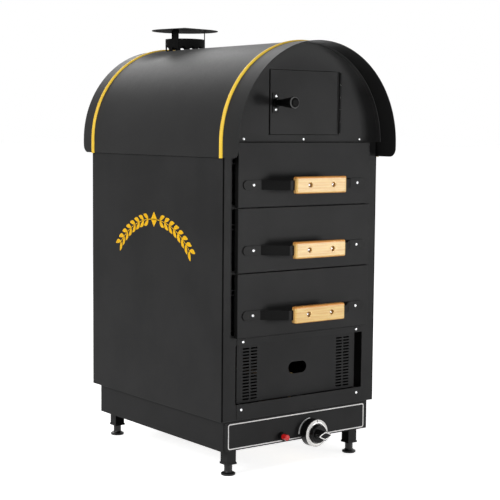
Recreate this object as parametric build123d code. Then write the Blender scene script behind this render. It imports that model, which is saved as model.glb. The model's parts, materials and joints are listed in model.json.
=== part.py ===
from build123d import *
import os

os.makedirs("parts", exist_ok=True)

# A free-standing gas oven for baked potatoes: a sheet-metal casing on a plinth, with three
# drawers, a vented burner cover below them and a barrel hood with a side-hung flap on top.
# Millimetres. +Z is up, the front faces -Y, and the origin lies on the floor, in the middle
# of the oven's outer box.

# ---------------------------------------------------------------- casing
casing_width = 500.0
casing_depth = 623.0
casing_sheet = 1.2
frame_sheet = 1.5
seam_gap = 1.0
edge_fold = 14.0
lap_height = 15.0
lap_side_margin = 40.0
burner_bay_height = 207.0

# ---------------------------------------------------------------- plinth, legs and feet
plinth_height = 78.0
plinth_sheet = 1.5
plinth_side_inset = 11.0
plinth_front_inset = 10.0
plinth_rear_inset = 25.0
plinth_flange = 20.0
corner_plate = 62.0
socket_size = 28.0
socket_wall = 2.0
socket_drop = 39.0
socket_base = 4.0
socket_lip = 1.5
socket_lip_height = 5.0
socket_side_inset = 23.0
socket_end_inset = 13.0
foot_height = 28.0
foot_pad_radius = 18.5
foot_pad_rim = 5.0
foot_neck_radius = 10.5
foot_flare = 6.0
stud_radius = 5.0
stud_length = 24.0
foot_end_gap = 0.4

# ---------------------------------------------------------------- drawers
drawer_count = 3
drawer_pitch = 161.5
drawer_gap = 2.0
drawer_side_gap = 9.0
drawer_proud = 14.0
drawer_sheet = 1.5
stile_width = 26.5
opening_bottom = 6.5
opening_top = 3.0
opening_corner = 5.0
closing_gap = 0.4
tray_side_gap = 8.5
tray_sheet = 1.2
tray_lift = 14.0
tray_depth = 96.0
tray_rear_gap = 15.0
tray_front_top = 9.0
rim_side_gap = 2.0
rim_start = 6.0
tray_slot_columns = 5
tray_slot_rows = 4
tray_slot_length = 60.0
tray_slot_width = 12.0
runner_depth = 15.0
runner_height = 14.0
runner_sheet = 1.5
running_gap = 0.4

# ---------------------------------------------------------------- drawer handles
handle_rise = 56.0
strap_width = 24.0
strap_thickness = 3.0
strap_side_margin = 14.5
strap_foot_length = 55.0
strap_slope_length = 51.0
strap_bend = 5.0
strap_reach = 53.0
foot_screw_inset = 31.0
grip_end_margin = 13.0
grip_height = 42.0
grip_depth = 14.0
grip_round = 4.0
grip_overlap = 2.0
grip_screw_x = 37.7
counterbore_radius = 6.5
counterbore_depth = 6.0

# ---------------------------------------------------------------- screws
screw_head_radius = 3.8
screw_head_height = 2.2
screw_shank_radius = 2.0
screw_grip = 3.0

# ---------------------------------------------------------------- chamber
liner_side_gap = 1.0
liner_sheet = 1.2
rear_insulation = 25.0
deck_sheet = 1.5
heat_slot_count = 6
heat_slot_length = 60.0
heat_slot_width = 16.0
heat_slot_margin = 14.0

# ---------------------------------------------------------------- hood, gables and trims
hood_sheet = 1.5
hood_side_gap = 3.5
hood_front_overhang = 69.0
hood_rear_overhang = 41.0
hood_corner = 22.0
arch_drop = 3.0
hood_skirt = 35.0
gable_sheet = 1.5
gable_flange = 12.0
trim_width = 14.0
trim_height = 4.0
trim_tail = 1.5
front_trim_setback = 3.5
rear_trim_setback = 11.0
gable_screw_margin = 61.0
gable_screw_rise = 6.5

# ---------------------------------------------------------------- gable flap
flap_opening_half_width = 112.0
flap_opening_rise = 17.5
flap_opening_height = 162.0
flap_side_gap = 4.5
flap_end_gap = 1.0
flap_sheet = 1.2
flap_fold = 12.0
hinge_leaf = 1.0
hinge_leaf_width = 7.0
hinge_overlap = 5.0
hinge_side_gap = 1.5
hinge_barrel_radius = 3.0
hinge_pin_radius = 1.5
hinge_clearance = 0.05
hinge_knuckles = 5
hinge_knuckle_gap = 0.4
hinge_end_margin = 2.0
knob_plate_width = 20.0
knob_plate_height = 50.0
knob_plate_sheet = 2.0
knob_plate_inset = 6.0
knob_plate_drop = 2.0
knob_screw_spacing = 33.0
flap_knob_length = 77.0
flap_knob_radius = 15.5
flap_knob_neck_radius = 8.5
flap_knob_cone = 42.0
magnet_height = 40.0
magnet_depth = 9.0
magnet_foot = 12.0

# ---------------------------------------------------------------- flue
flue_radius = 55.0
flue_wall = 1.2
flue_rear_inset = 88.0
flue_rise = 29.0
flue_flange = 14.0
draught_hole_count = 13
draught_hole_offset = 0.335
draught_hole_radius = 7.5
draught_hole_rise = 0.5
cap_radius = 93.5
cap_rise = 52.0
cap_cone = 9.5
cap_sheet = 1.2
cap_strap_count = 3
cap_strap_turn = 89.5
cap_strap_width = 16.0
cap_strap_sheet = 1.5
cap_strap_foot_rise = 2.0

# ---------------------------------------------------------------- burner cover
cover_side_margin = 45.0
cover_border = 10.0
cover_opening_margin = 41.0
cover_opening_bottom = 38.0
cover_opening_top = 17.0
cover_sheet = 1.2
cover_recess = 14.0
cover_top_gap = 2.5
cover_bottom_gap = 1.0
cover_fit = 0.4
vent_inset = 29.0
vent_column_pitch = 25.0
vent_columns = 2
vent_width = 20.0
vent_height = 4.0
vent_pitch = 8.0
vent_rows = 17
vent_margin = 7.0
sight_hole_length = 60.0
sight_hole_height = 31.0
sight_hole_rise = 112.0
air_slot_count = 2
air_slot_web = 8.0
cover_top_screw_inset = 18.0
cover_bottom_screw_inset = 14.0
cover_top_screw_drop = 5.0
cover_bottom_screw_rise = 26.0

# ---------------------------------------------------------------- control panel
panel_sheet = 1.5
panel_side_margin = 4.0
panel_top_margin = 6.0
panel_bottom_margin = 0.5
panel_corner = 4.0
knob_x = 42.0
knob_rise = 16.0
knob_panel_gap = 4.0
knob_push = 3.0
knob_radius = 35.8
knob_skirt_depth = 22.0
knob_hub_radius = 26.5
knob_hub_depth = 14.0
knob_grip_length = 46.0
knob_grip_height = 24.0
knob_grip_round = 5.0
knob_grip_depth = 21.5
knob_ring_height = 3.5
knob_bore_depth = 18.0
spindle_radius = 4.0
spindle_clearance = 0.06
spindle_hole_radius = 6.5
spindle_insertion = 15.0
valve_width = 40.0
valve_height = 26.0
valve_depth = 63.0
plunger_length = 24.0
end_gap = 0.4
igniter_x = -53.5
igniter_rise = 17.0
igniter_bezel_radius = 11.0
igniter_bezel_depth = 8.5
igniter_barrel_radius = 9.3
igniter_barrel_depth = 48.0
igniter_nut_radius = 13.0
igniter_nut_depth = 5.0
button_radius = 7.5
button_clearance = 0.1
button_proud = 16.0
button_travel = 6.0
button_stem = 14.0

# ---------------------------------------------------------------- gas train and burner
burner_radius = 22.0
burner_wall = 1.5
burner_rise = 85.0
burner_mouth_y = 62.0
burner_throat_radius = 11.0
burner_mouth_radius = 17.0
burner_throat_y = 78.0
burner_body_y = 112.0
burner_end_y = 520.0
port_count = 14
port_width = 3.0
port_pitch = 26.0
port_depth = 7.0
saddle_half_width = 40.0
saddle_sheet = 1.5
saddle_foot = 20.0
front_saddle_y = 126.0
rear_saddle_y = 490.0
gas_pipe_radius = 4.0
gas_pipe_bend = 12.0
gas_pipe_y = 45.0
injector_radius = 9.0
injector_length = 14.0
nozzle_radius = 4.0
nozzle_length = 9.0
pipe_floor_clearance = 3.0
supply_pipe_radius = 7.5
supply_pipe_bore = 6.0
inlet_thread_radius = 10.48
inlet_thread_length = 20.0
inlet_flange_radius = 16.0
inlet_flange_sheet = 6.0
pilot_x = 36.0
pilot_shelf_width = 26.0
pilot_shelf_depth = 15.0
pilot_sheet = 1.5
pilot_shelf_rise = 3.0
probe_radius = 3.0
probe_height = 46.0
probe_spacing = 12.0
floor_window_inner = 60.0
floor_window_outer = 150.0
floor_window_margin = 26.0
floor_window_length = 100.0

# ---------------------------------------------------------------- levels and planes
socket_bottom = foot_height
plinth_bottom = socket_bottom + socket_drop
casing_bottom = plinth_bottom + plinth_height
floor_top = casing_bottom + 2 * casing_sheet
drawer_base = casing_bottom + burner_bay_height
casing_top = drawer_base + drawer_count * drawer_pitch
deck_bottom = casing_top - deck_sheet
arch_centre = casing_top - arch_drop
hood_bottom = arch_centre - hood_skirt

casing_half = casing_width / 2
casing_inner = casing_half - casing_sheet
opening_half_width = casing_half - stile_width
drawer_half_width = opening_half_width - drawer_side_gap
tray_half_width = drawer_half_width - tray_side_gap
strap_half_length = drawer_half_width - strap_side_margin
strap_foot_end = strap_half_length - strap_foot_length
strap_flat_end = strap_foot_end - strap_slope_length
foot_screw_x = strap_half_length - foot_screw_inset
grip_length = 2 * (strap_flat_end - grip_end_margin)
gable_screw_x = casing_half - gable_screw_margin
cover_half_width = casing_half - cover_side_margin
cover_recess_half_width = cover_half_width - cover_border
cover_opening_half_width = casing_half - cover_opening_margin
cover_top_screw_x = cover_half_width - cover_top_screw_inset
cover_bottom_screw_x = cover_half_width - cover_bottom_screw_inset
hood_radius = casing_half + hood_side_gap + hood_sheet
hood_inner = hood_radius - hood_sheet
hood_top = arch_centre + hood_radius

strap_front = drawer_proud + strap_reach
grip_back = strap_front - strap_thickness - grip_overlap
front_reach = max(hood_front_overhang, grip_back + grip_depth)
inlet_reach = inlet_thread_length + inlet_flange_sheet - plinth_rear_inset
rear_reach = max(hood_rear_overhang, inlet_reach)
casing_front = -(casing_depth + rear_reach - front_reach) / 2
casing_rear = casing_front + casing_depth

liner_inner = opening_half_width + liner_side_gap
liner_outer = liner_inner + liner_sheet
liner_front = casing_front + frame_sheet
liner_rear = casing_rear - casing_sheet - rear_insulation - liner_sheet

plinth_half = casing_half - plinth_side_inset
plinth_front = casing_front + plinth_front_inset
plinth_rear = casing_rear - plinth_rear_inset
plinth_wall_back = plinth_front + plinth_sheet
panel_front = plinth_front - panel_sheet
knob_z = plinth_bottom + knob_rise
knob_back = panel_front - knob_panel_gap
igniter_z = plinth_bottom + igniter_rise
spindle_end = plinth_wall_back + spindle_insertion

socket_x = plinth_half - socket_side_inset - socket_size / 2
socket_y_front = plinth_front + socket_end_inset + socket_size / 2
socket_y_rear = plinth_rear - socket_end_inset - socket_size / 2

flue_y = casing_rear - flue_rear_inset
flue_top = hood_top + flue_rise
cap_rim = hood_top + cap_rise
draught_hole_z = hood_top + draught_hole_rise

flap_opening_bottom = casing_top + flap_opening_rise
flap_opening_top = flap_opening_bottom + flap_opening_height
flap_bottom = flap_opening_bottom + flap_end_gap
flap_top = flap_opening_top - flap_end_gap
flap_middle = (flap_bottom + flap_top) / 2
flap_left = -flap_opening_half_width + flap_side_gap
flap_right = flap_opening_half_width + hinge_overlap
hinge_x = flap_right + hinge_side_gap
hinge_y = casing_front - hinge_barrel_radius
knob_plate_x = flap_left + knob_plate_inset + knob_plate_width / 2
knob_plate_z = flap_middle - knob_plate_drop

burner_z = casing_bottom + burner_rise
cover_front = casing_front - cover_sheet
recess_face = casing_front + cover_recess


# ---------------------------------------------------------------- helpers
def block(x, y, z):
    """A block between two planes on each axis, each pair given in any order."""
    sizes = [abs(pair[1] - pair[0]) for pair in (x, y, z)]
    middle = [(pair[0] + pair[1]) / 2 for pair in (x, y, z)]
    return Pos(*middle) * Box(*sizes)


def across(sketch, y):
    """Extrude a sketch drawn in (x, z) between two y planes."""
    start = Plane(origin=(0, y[0], 0), x_dir=(1, 0, 0), z_dir=(0, -1, 0))
    return extrude(start * sketch, amount=-(y[1] - y[0]))


def along_x(sketch, x):
    """Extrude a sketch drawn in (y, z) between two x planes."""
    start = Plane(origin=(x[0], 0, 0), x_dir=(0, 1, 0), z_dir=(1, 0, 0))
    return extrude(start * sketch, amount=x[1] - x[0])


def upward(sketch, z):
    """Extrude a sketch drawn in (x, y) between two heights."""
    return extrude(Pos(0, 0, z[0]) * sketch, amount=z[1] - z[0])


def rod_y(radius, x, y, z):
    """A round rod along Y between two y planes."""
    return Pos(x, (y[0] + y[1]) / 2, z) * Rot(90, 0, 0) * Cylinder(radius, abs(y[1] - y[0]))


def rod_z(radius, x, y, z):
    """A round rod along Z between two heights."""
    return Pos(x, y, (z[0] + z[1]) / 2) * Cylinder(radius, z[1] - z[0])


def facing_front(shape, x, y, z):
    """Turn a shape built along +Z so that it points at the user, with its foot at (x, y, z)."""
    return Pos(x, y, z) * Rot(90, 0, 0) * shape


def turned(points):
    """Revolve a closed (radius, height) outline about Z."""
    return revolve(Plane.XZ * make_face(Polyline(*points, close=True)), axis=Axis.Z)


def rounded(width, height, radius):
    """A rectangle with round corners, and a radius its short side can hold."""
    return RectangleRounded(width, height, min(radius, 0.45 * min(width, height)))


def save(name, *shapes):
    """Write one node, as the separate solids of the given shapes."""
    solids = [solid for shape in shapes for solid in shape.solids()]
    export_step(solids[0] if len(solids) == 1 else Compound(solids), f"parts/{name}.step")


def machine_screw(shank_length):
    """A machine screw along +Z, with a bevelled head whose underside is at zero."""
    rim = screw_head_height / 2
    return turned([(0, -shank_length), (screw_shank_radius, -shank_length), (screw_shank_radius, 0),
                   (screw_head_radius, 0), (screw_head_radius, rim),
                    (screw_head_radius - rim, screw_head_height),
                   (0, screw_head_height)])


def screw_hole(x, z, y):
    """The hole a screw shank fills, along Y."""
    return rod_y(screw_shank_radius, x, y, z)


# ---------------------------------------------------------------- places of the screws
gable_screws = [(x, casing_top + gable_screw_rise) for x in (-gable_screw_x, 0, gable_screw_x)]
cover_top_screw_z = drawer_base - cover_top_gap - cover_top_screw_drop
cover_bottom_screw_z = casing_bottom + cover_bottom_screw_rise
cover_screws = [(side * x, z) for x, z in ((cover_top_screw_x, cover_top_screw_z),
                                           (cover_bottom_screw_x, cover_bottom_screw_z))
                for side in (-1, 1)]


# ---------------------------------------------------------------- casing
def side_panel(side):
    """One wall of the casing, with its four edges folded inwards."""
    outer = side * casing_half
    inner = side * casing_inner
    fold_end = side * (casing_inner - edge_fold)
    fold_front = casing_front + frame_sheet
    fold_rear = casing_rear - casing_sheet
    depth = (fold_front, fold_rear)
    height = (casing_bottom, deck_bottom)
    wall = block((outer, inner), (casing_front, casing_rear), (casing_bottom, casing_top))
    front = block((inner, fold_end), (fold_front, fold_front + casing_sheet), height)
    rear = block((inner, fold_end), (fold_rear - casing_sheet, fold_rear), height)
    foot = block((inner, fold_end), depth, (casing_bottom, casing_bottom + casing_sheet))
    head = block((inner, fold_end), depth, (deck_bottom - casing_sheet, deck_bottom))
    return wall + front + rear + foot + head


def back_panel():
    """The rear wall between the side panels, with a tongue that laps behind the gable."""
    wall = block((-casing_inner, casing_inner), (casing_rear - casing_sheet, casing_rear),
                 (casing_bottom, casing_top))
    tongue_half = casing_inner - lap_side_margin
    lap = casing_rear - gable_sheet
    width = (-tongue_half, tongue_half)
    step = block(width, (lap - casing_sheet, casing_rear), (casing_top - opening_top, casing_top))
    tongue = block(width, (lap - casing_sheet, lap), (casing_top, casing_top + lap_height))
    return wall + step + tongue


def front_frame():
    """The front sheet, with three drawer openings and the opening of the burner bay."""
    half = casing_inner - seam_gap
    height = casing_top - casing_bottom
    sheet = Pos(0, casing_bottom + height / 2) * Rectangle(2 * half, height)
    for level in range(drawer_count):
        low = drawer_base + level * drawer_pitch + opening_bottom
        high = drawer_base + (level + 1) * drawer_pitch - opening_top
        hole = rounded(2 * opening_half_width, high - low, opening_corner)
        sheet -= Pos(0, (low + high) / 2) * hole
    bay_low = casing_bottom + cover_opening_bottom
    bay_high = drawer_base - cover_opening_top
    bay = rounded(2 * cover_opening_half_width, bay_high - bay_low, opening_corner)
    sheet -= Pos(0, (bay_low + bay_high) / 2) * bay
    back = casing_front + frame_sheet
    frame = across(sheet, (casing_front, back))
    fold_half = casing_inner - edge_fold
    frame += block((-fold_half, fold_half), (casing_front, casing_front + edge_fold),
                   (casing_bottom, casing_bottom + casing_sheet))
    tongue_half = casing_inner - lap_side_margin
    frame += block((-tongue_half, tongue_half), (back, back + frame_sheet),
                   (casing_top - opening_top, casing_top + lap_height))
    for x, z in gable_screws + cover_screws:
        frame -= screw_hole(x, z, (casing_front, back + frame_sheet))
    return frame


def casing_floor():
    """The floor of the burner bay, with its two air windows and the gas pipe's hole."""
    front = casing_front + frame_sheet + casing_sheet
    rear = casing_rear - 2 * casing_sheet
    floor = block((-casing_inner, casing_inner), (front, rear), (floor_top - casing_sheet, floor_top))
    window = casing_front + front_saddle_y + floor_window_margin
    for side in (-1, 1):
        floor -= block((side * floor_window_inner, side * floor_window_outer),
                       (window, window + floor_window_length), (casing_bottom, floor_top + 1))
    hole = gas_pipe_radius + pipe_floor_clearance
    return floor - rod_z(hole, 0, casing_front + gas_pipe_y, (casing_bottom, floor_top + 1))


def compartment_floor():
    """The deck over the baking chamber: the floor of the space behind the flap."""
    deck = block((-casing_inner, casing_inner),
                 (casing_front + 2 * frame_sheet, casing_rear - gable_sheet - casing_sheet),
                 (deck_bottom, casing_top))
    return deck - rod_z(flue_radius, 0, flue_y, (deck_bottom - 1, casing_top + 1))


def casing_screw_set():
    """The screws of the front gable and of the burner cover."""
    gable_depth = gable_sheet + frame_sheet + screw_grip
    cover_depth = cover_sheet + frame_sheet + screw_grip
    screws = [facing_front(machine_screw(gable_depth), x, casing_front, z) for x, z in gable_screws]
    screws += [facing_front(machine_screw(cover_depth), x, cover_front, z) for x, z in cover_screws]
    return screws


# ---------------------------------------------------------------- baking chamber
def chamber_liner():
    """The baking chamber: side, rear and bottom walls, open to the front and to the deck."""
    outside = block((-liner_outer, liner_outer), (liner_front, liner_rear + liner_sheet),
                    (drawer_base, deck_bottom))
    inside = block((-liner_inner, liner_inner), (liner_front - 1, liner_rear),
                   (drawer_base + liner_sheet, deck_bottom + 1))
    liner = outside - inside
    slot_pitch = (liner_rear - liner_front) / (heat_slot_count + 1)
    slot_x = liner_inner - heat_slot_margin - heat_slot_width / 2
    slots = Sketch() + [Pos(side * slot_x, liner_front + (row + 1) * slot_pitch)
                        * Rectangle(heat_slot_width, heat_slot_length)
                        for row in range(heat_slot_count) for side in (-1, 1)]
    return liner - upward(slots, (drawer_base - 1, drawer_base + liner_sheet + 1))


def insulation_slabs():
    """Mineral wool boards at both sides of the chamber and behind it."""
    front = casing_front + frame_sheet + casing_sheet
    rear = liner_rear + liner_sheet
    height = (drawer_base, deck_bottom - casing_sheet)
    sides = [block((side * liner_outer, side * casing_inner), (front, rear), height)
             for side in (-1, 1)]
    back = block((-liner_outer, liner_outer), (rear, casing_rear - casing_sheet - gable_sheet), height)
    return sides + [back]


def rim_top(level):
    """Height of the upper face of a tray's rim."""
    return drawer_base + level * drawer_pitch + tray_lift + tray_depth


def drawer_runners():
    """A channel on each chamber wall for each drawer, that holds the tray's rim."""
    runners = []
    for level in range(drawer_count):
        low = rim_top(level) - tray_sheet - running_gap - runner_sheet
        for side in (-1, 1):
            wall = side * liner_inner
            tip = side * (liner_inner - runner_depth)
            web = side * (liner_inner - runner_sheet)
            length = (liner_front, liner_rear)
            channel = block((wall, web), length, (low, low + runner_height))
            channel += block((wall, tip), length, (low, low + runner_sheet))
            channel += block((wall, tip), length, (low + runner_height - runner_sheet, low + runner_height))
            runners.append(channel)
    return runners


# ---------------------------------------------------------------- drawers
def drawer_front(level):
    """The front of a drawer: one sheet with its four edges folded back to the frame."""
    low = drawer_base + level * drawer_pitch + drawer_gap / 2
    high = low + drawer_pitch - drawer_gap
    face = casing_front - drawer_proud
    fold = casing_front - closing_gap
    half = drawer_half_width
    inner = half - drawer_sheet
    front = block((-half, half), (face, fold), (low, high))
    rims = front.edges().filter_by(lambda edge: abs(edge.center().Y - face) < 0.01)
    front = fillet(rims, 0.8 * drawer_sheet)
    front -= block((-inner, inner), (face + drawer_sheet, fold + 1),
                   (low + drawer_sheet, high - drawer_sheet))
    for x in (-foot_screw_x, foot_screw_x):
        front -= screw_hole(x, low - drawer_gap / 2 + handle_rise, (face, face + drawer_sheet))
    return front


def drawer_tray(level):
    """The tray: a folded box with a slotted floor, side rims and a tall front wall."""
    base = drawer_base + level * drawer_pitch
    low = base + tray_lift
    top = rim_top(level)
    front = casing_front - drawer_proud + drawer_sheet
    rear = liner_rear - tray_rear_gap
    half = tray_half_width
    inner = half - tray_sheet
    tray = block((-half, half), (front, rear), (low, top))
    tray -= block((-inner, inner), (front + tray_sheet, rear - tray_sheet), (low + tray_sheet, top + 1))
    tray += block((-half, half), (front, front + tray_sheet), (low, base + drawer_pitch - tray_front_top))
    rim_end = liner_inner - runner_sheet - rim_side_gap
    for side in (-1, 1):
        tray += block((side * inner, side * rim_end), (casing_front + rim_start, rear),
                      (top - tray_sheet, top))
    column_pitch = 2 * half / (tray_slot_columns + 1)
    row_pitch = (rear - front) / (tray_slot_rows + 1)
    slots = Sketch() + [Pos(-half + (column + 1) * column_pitch, front + (row + 1) * row_pitch)
                        * Rectangle(tray_slot_width, tray_slot_length)
                        for column in range(tray_slot_columns) for row in range(tray_slot_rows)]
    tray -= upward(slots, (low - 1, low + tray_sheet + 1))
    for x in (-foot_screw_x, foot_screw_x):
        tray -= screw_hole(x, base + handle_rise, (front, front + tray_sheet))
    return tray


def handle_strap(level):
    """A flat strap bent outwards twice, with round ends screwed to the drawer front."""
    face = casing_front - drawer_proud
    z = drawer_base + level * drawer_pitch + handle_rise
    near = face - strap_thickness / 2
    far = face - strap_reach + strap_thickness / 2
    half = [(strap_half_length, near, z), (strap_foot_end, near, z), (strap_flat_end, far, z)]
    path = FilletPolyline(*half, *[(-x, y, z) for x, y, z in reversed(half)], radius=strap_bend)
    start = Plane(origin=half[0], x_dir=(0, 1, 0), z_dir=(-1, 0, 0))
    strap = sweep(start * Rectangle(strap_thickness, strap_width), path=path)
    ends = SlotOverall(2 * strap_half_length, strap_width)
    strap &= across(Pos(0, z) * ends, (face - strap_reach - 1, face + 1))
    for x in (-foot_screw_x, foot_screw_x):
        strap -= screw_hole(x, z, (face - strap_thickness - 1, face + 1))
    for x in (-grip_screw_x, grip_screw_x):
        strap -= screw_hole(x, z, (face - strap_reach - 1, face - strap_reach + strap_thickness + 1))
    return strap


def handle_grip(level):
    """The wooden grip, grooved over the strap and counterbored for its two screws."""
    back = casing_front - grip_back
    front = back - grip_depth
    z = drawer_base + level * drawer_pitch + handle_rise
    grip = block((-grip_length / 2, grip_length / 2), (front, back),
                 (z - grip_height / 2, z + grip_height / 2))
    grip = fillet([edge for edge in grip.edges() if edge.center().Y < back - 0.01], grip_round)
    grip -= block((-grip_length, grip_length), (casing_front - strap_front, back + 1),
                  (z - strap_width / 2, z + strap_width / 2))
    for x in (-grip_screw_x, grip_screw_x):
        grip -= rod_y(counterbore_radius, x, (front - 1, front + counterbore_depth), z)
        grip -= screw_hole(x, z, (front, back))
    return grip


def handle_screws(level):
    """Two screws through the strap's feet and two in the grip's counterbores."""
    face = casing_front - drawer_proud
    z = drawer_base + level * drawer_pitch + handle_rise
    foot_length = strap_thickness + drawer_sheet + tray_sheet + screw_grip
    grip_length_in = grip_depth - counterbore_depth - grip_overlap + screw_grip
    counter_floor = casing_front - grip_back - grip_depth + counterbore_depth
    screws = [facing_front(machine_screw(foot_length), side * foot_screw_x, face - strap_thickness, z)
              for side in (-1, 1)]
    screws += [facing_front(machine_screw(grip_length_in), side * grip_screw_x, counter_floor, z)
               for side in (-1, 1)]
    return screws


# ---------------------------------------------------------------- hood
def arch(radius, bottom):
    """A half disc with straight sides down to a given height, in (x, z)."""
    upper = Pos(0, arch_centre) * Circle(radius)
    lower = Pos(0, (arch_centre + bottom) / 2) * Rectangle(2 * radius, arch_centre - bottom)
    cut = Pos(0, bottom - radius) * Rectangle(4 * radius, 2 * radius)
    return upper + lower - cut


def hood_shell():
    """The barrel hood: one bent sheet with round lower corners and the flue's hole."""
    front = casing_front - hood_front_overhang
    rear = casing_rear + hood_rear_overhang
    shell = across(arch(hood_radius, hood_bottom) - arch(hood_inner, hood_bottom - 1), (front, rear))
    height = 2 * hood_radius + hood_skirt
    length = rear - front
    side = rounded(length, height, hood_corner)
    side += Pos(0, height / 4) * Rectangle(length, height / 2)
    side_view = Pos((front + rear) / 2, hood_bottom + height / 2) * side
    shell &= along_x(side_view, (-2 * hood_radius, 2 * hood_radius))
    return shell - rod_z(flue_radius, 0, flue_y, (arch_centre, hood_top + 10))


def gable_plate(front, rear, flange):
    """An arched end plate on the casing, with a flange under the hood's sheet."""
    cut = Pos(0, casing_top - hood_radius) * Rectangle(4 * hood_radius, 2 * hood_radius)
    disc = Pos(0, arch_centre) * Circle(hood_inner)
    ring = disc - Pos(0, arch_centre) * Circle(hood_inner - gable_sheet)
    return across(disc - cut, (front, rear)) + across(ring - cut, flange)


def front_gable():
    """The front gable, with the opening behind the flap."""
    rear = casing_front + gable_sheet
    gable = gable_plate(casing_front, rear, (casing_front - gable_flange, rear))
    gable -= block((-flap_opening_half_width, hinge_x - hinge_knuckle_gap), (casing_front - 1, rear + 1),
                   (flap_opening_bottom, flap_opening_top))
    for x, z in gable_screws:
        gable -= screw_hole(x, z, (casing_front, rear))
    return gable


def rear_gable():
    """The plain rear gable."""
    front = casing_rear - gable_sheet
    return gable_plate(front, casing_rear, (front, casing_rear + gable_flange))


def hood_trim(y):
    """A bead bent round the outside of the hood, that ends just below its edge."""
    ends = ((0, -trim_width / 2), (0, trim_width / 2))
    bead = make_face([Line(*ends), ThreePointArc(ends[0], (trim_height, 0), ends[1])])
    foot = Pos(hood_radius, y) * bead
    straight = hood_bottom - trim_tail
    legs = Pos(0, 0, straight) * extrude(foot, amount=arch_centre - straight)
    pivot = Axis((0, 0, arch_centre), (0, -1, 0))
    bow = revolve(Pos(0, 0, arch_centre) * foot, axis=pivot, revolution_arc=180)
    return bow + legs + mirror(legs, about=Plane.YZ)


# ---------------------------------------------------------------- flap of the front gable
def gable_flap():
    """The flap: a sheet level with the gable, folded back along three edges."""
    width = (flap_left, flap_right)
    depth = (casing_front, casing_front + flap_fold)
    flap = block(width, (casing_front, casing_front + flap_sheet), (flap_bottom, flap_top))
    flap += block(width, depth, (flap_bottom, flap_bottom + flap_sheet))
    flap += block(width, depth, (flap_top - flap_sheet, flap_top))
    flap += block((flap_left, flap_left + flap_sheet), depth, (flap_bottom, flap_top))
    return flap - knob_plate_holes()


def knob_plate_holes():
    """The holes of the two screws through the knob's plate and the flap."""
    depth = (casing_front - knob_plate_sheet, casing_front + flap_sheet)
    return Part() + [screw_hole(knob_plate_x, knob_plate_z + side * knob_screw_spacing / 2, depth)
                     for side in (-1, 1)]


def knuckle_spans(first):
    """Heights of every second hinge knuckle, from the given one on."""
    low = flap_bottom + hinge_end_margin
    length = (flap_top - flap_bottom - 2 * hinge_end_margin) / hinge_knuckles
    return [(low + index * length + hinge_knuckle_gap / 2, low + (index + 1) * length - hinge_knuckle_gap / 2)
            for index in range(first, hinge_knuckles, 2)]


def hinge_half(side, first, bore):
    """One leaf of the hinge, with its own knuckles bored and room for the others."""
    z = (flap_bottom + hinge_end_margin, flap_top - hinge_end_margin)
    leaf = block((hinge_x, hinge_x + side * hinge_leaf_width), (casing_front - hinge_leaf, casing_front), z)
    room = hinge_barrel_radius + hinge_knuckle_gap
    for low, high in knuckle_spans(1 - first):
        gap = (low - hinge_knuckle_gap, high + hinge_knuckle_gap)
        leaf -= block((hinge_x - room, hinge_x + room), (hinge_y, casing_front + 1), gap)
    for span in knuckle_spans(first):
        leaf += rod_z(hinge_barrel_radius, hinge_x, hinge_y, span)
    return leaf - rod_z(bore, hinge_x, hinge_y, z)


def hinge_fixed_leaf():
    """The leaf on the gable, that holds the pin in the outer and middle knuckles."""
    return hinge_half(1, 0, hinge_pin_radius)


def hinge_moving_leaf():
    """The leaf on the flap, whose knuckles turn on the pin."""
    return hinge_half(-1, 1, hinge_pin_radius + hinge_clearance)


def hinge_pin():
    """The pin through all knuckles."""
    return rod_z(hinge_pin_radius, hinge_x, hinge_y,
                 (flap_bottom + hinge_end_margin, flap_top - hinge_end_margin))


def flap_knob_plate():
    """The plate under the flap's knob, with its two screws' holes."""
    plate = across(Pos(knob_plate_x, knob_plate_z) * rounded(knob_plate_width, knob_plate_height, 3),
                   (casing_front - knob_plate_sheet, casing_front))
    return plate - knob_plate_holes()


def flap_knob():
    """A turned knob that flares towards the hand and ends in a shallow dome."""
    neck = flap_knob_neck_radius
    head = flap_knob_radius
    length = flap_knob_length
    cone_start = length - flap_knob_cone
    outline = [(0, 0), (neck + 2.5, 0), (neck + 2.5, 4), (neck, 7), (neck, cone_start - 2),
               (neck + 1.5, cone_start), (head - 1, length - 8), (head, length - 6), (head, length - 4),
               (head - 3, length - 1.5), (head - 8, length), (0, length)]
    return facing_front(turned(outline), knob_plate_x, casing_front - knob_plate_sheet, knob_plate_z)


def flap_screws():
    """The two screws of the knob's plate."""
    length = knob_plate_sheet + flap_sheet + screw_grip
    return [facing_front(machine_screw(length), knob_plate_x, casing_front - knob_plate_sheet,
                         knob_plate_z + side * knob_screw_spacing / 2) for side in (-1, 1)]


def magnet_catch():
    """A magnet on a foot behind the gable, that holds the flap by its folded edge."""
    z = (flap_middle - magnet_height / 2, flap_middle + magnet_height / 2)
    near = -flap_opening_half_width - 1
    front = casing_front + flap_fold + closing_gap
    body = block((near - magnet_foot, flap_left + magnet_foot), (front, front + magnet_depth), z)
    return body + block((near - magnet_foot, near), (casing_front + gable_sheet, front), z)


# ---------------------------------------------------------------- flue
def flue_pipe():
    """The flue from the chamber through deck and hood, with a ring of draught holes."""
    inner = flue_radius - flue_wall
    bore = rod_z(inner, 0, flue_y, (deck_bottom - 1, flue_top + 1))
    pipe = rod_z(flue_radius, 0, flue_y, (deck_bottom, flue_top))
    pipe += rod_z(flue_radius + flue_flange, 0, flue_y, (casing_top, casing_top + deck_sheet))
    pipe -= bore
    pitch = 360 / draught_hole_count
    for index in range(draught_hole_count):
        angle = (index + draught_hole_offset) * pitch
        drill = Pos(flue_radius, 0, 0) * Rot(0, 90, 0) * Cylinder(draught_hole_radius, 4 * flue_wall)
        pipe -= Pos(0, flue_y, draught_hole_z) * Rot(0, 0, angle) * drill
    return pipe


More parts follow.
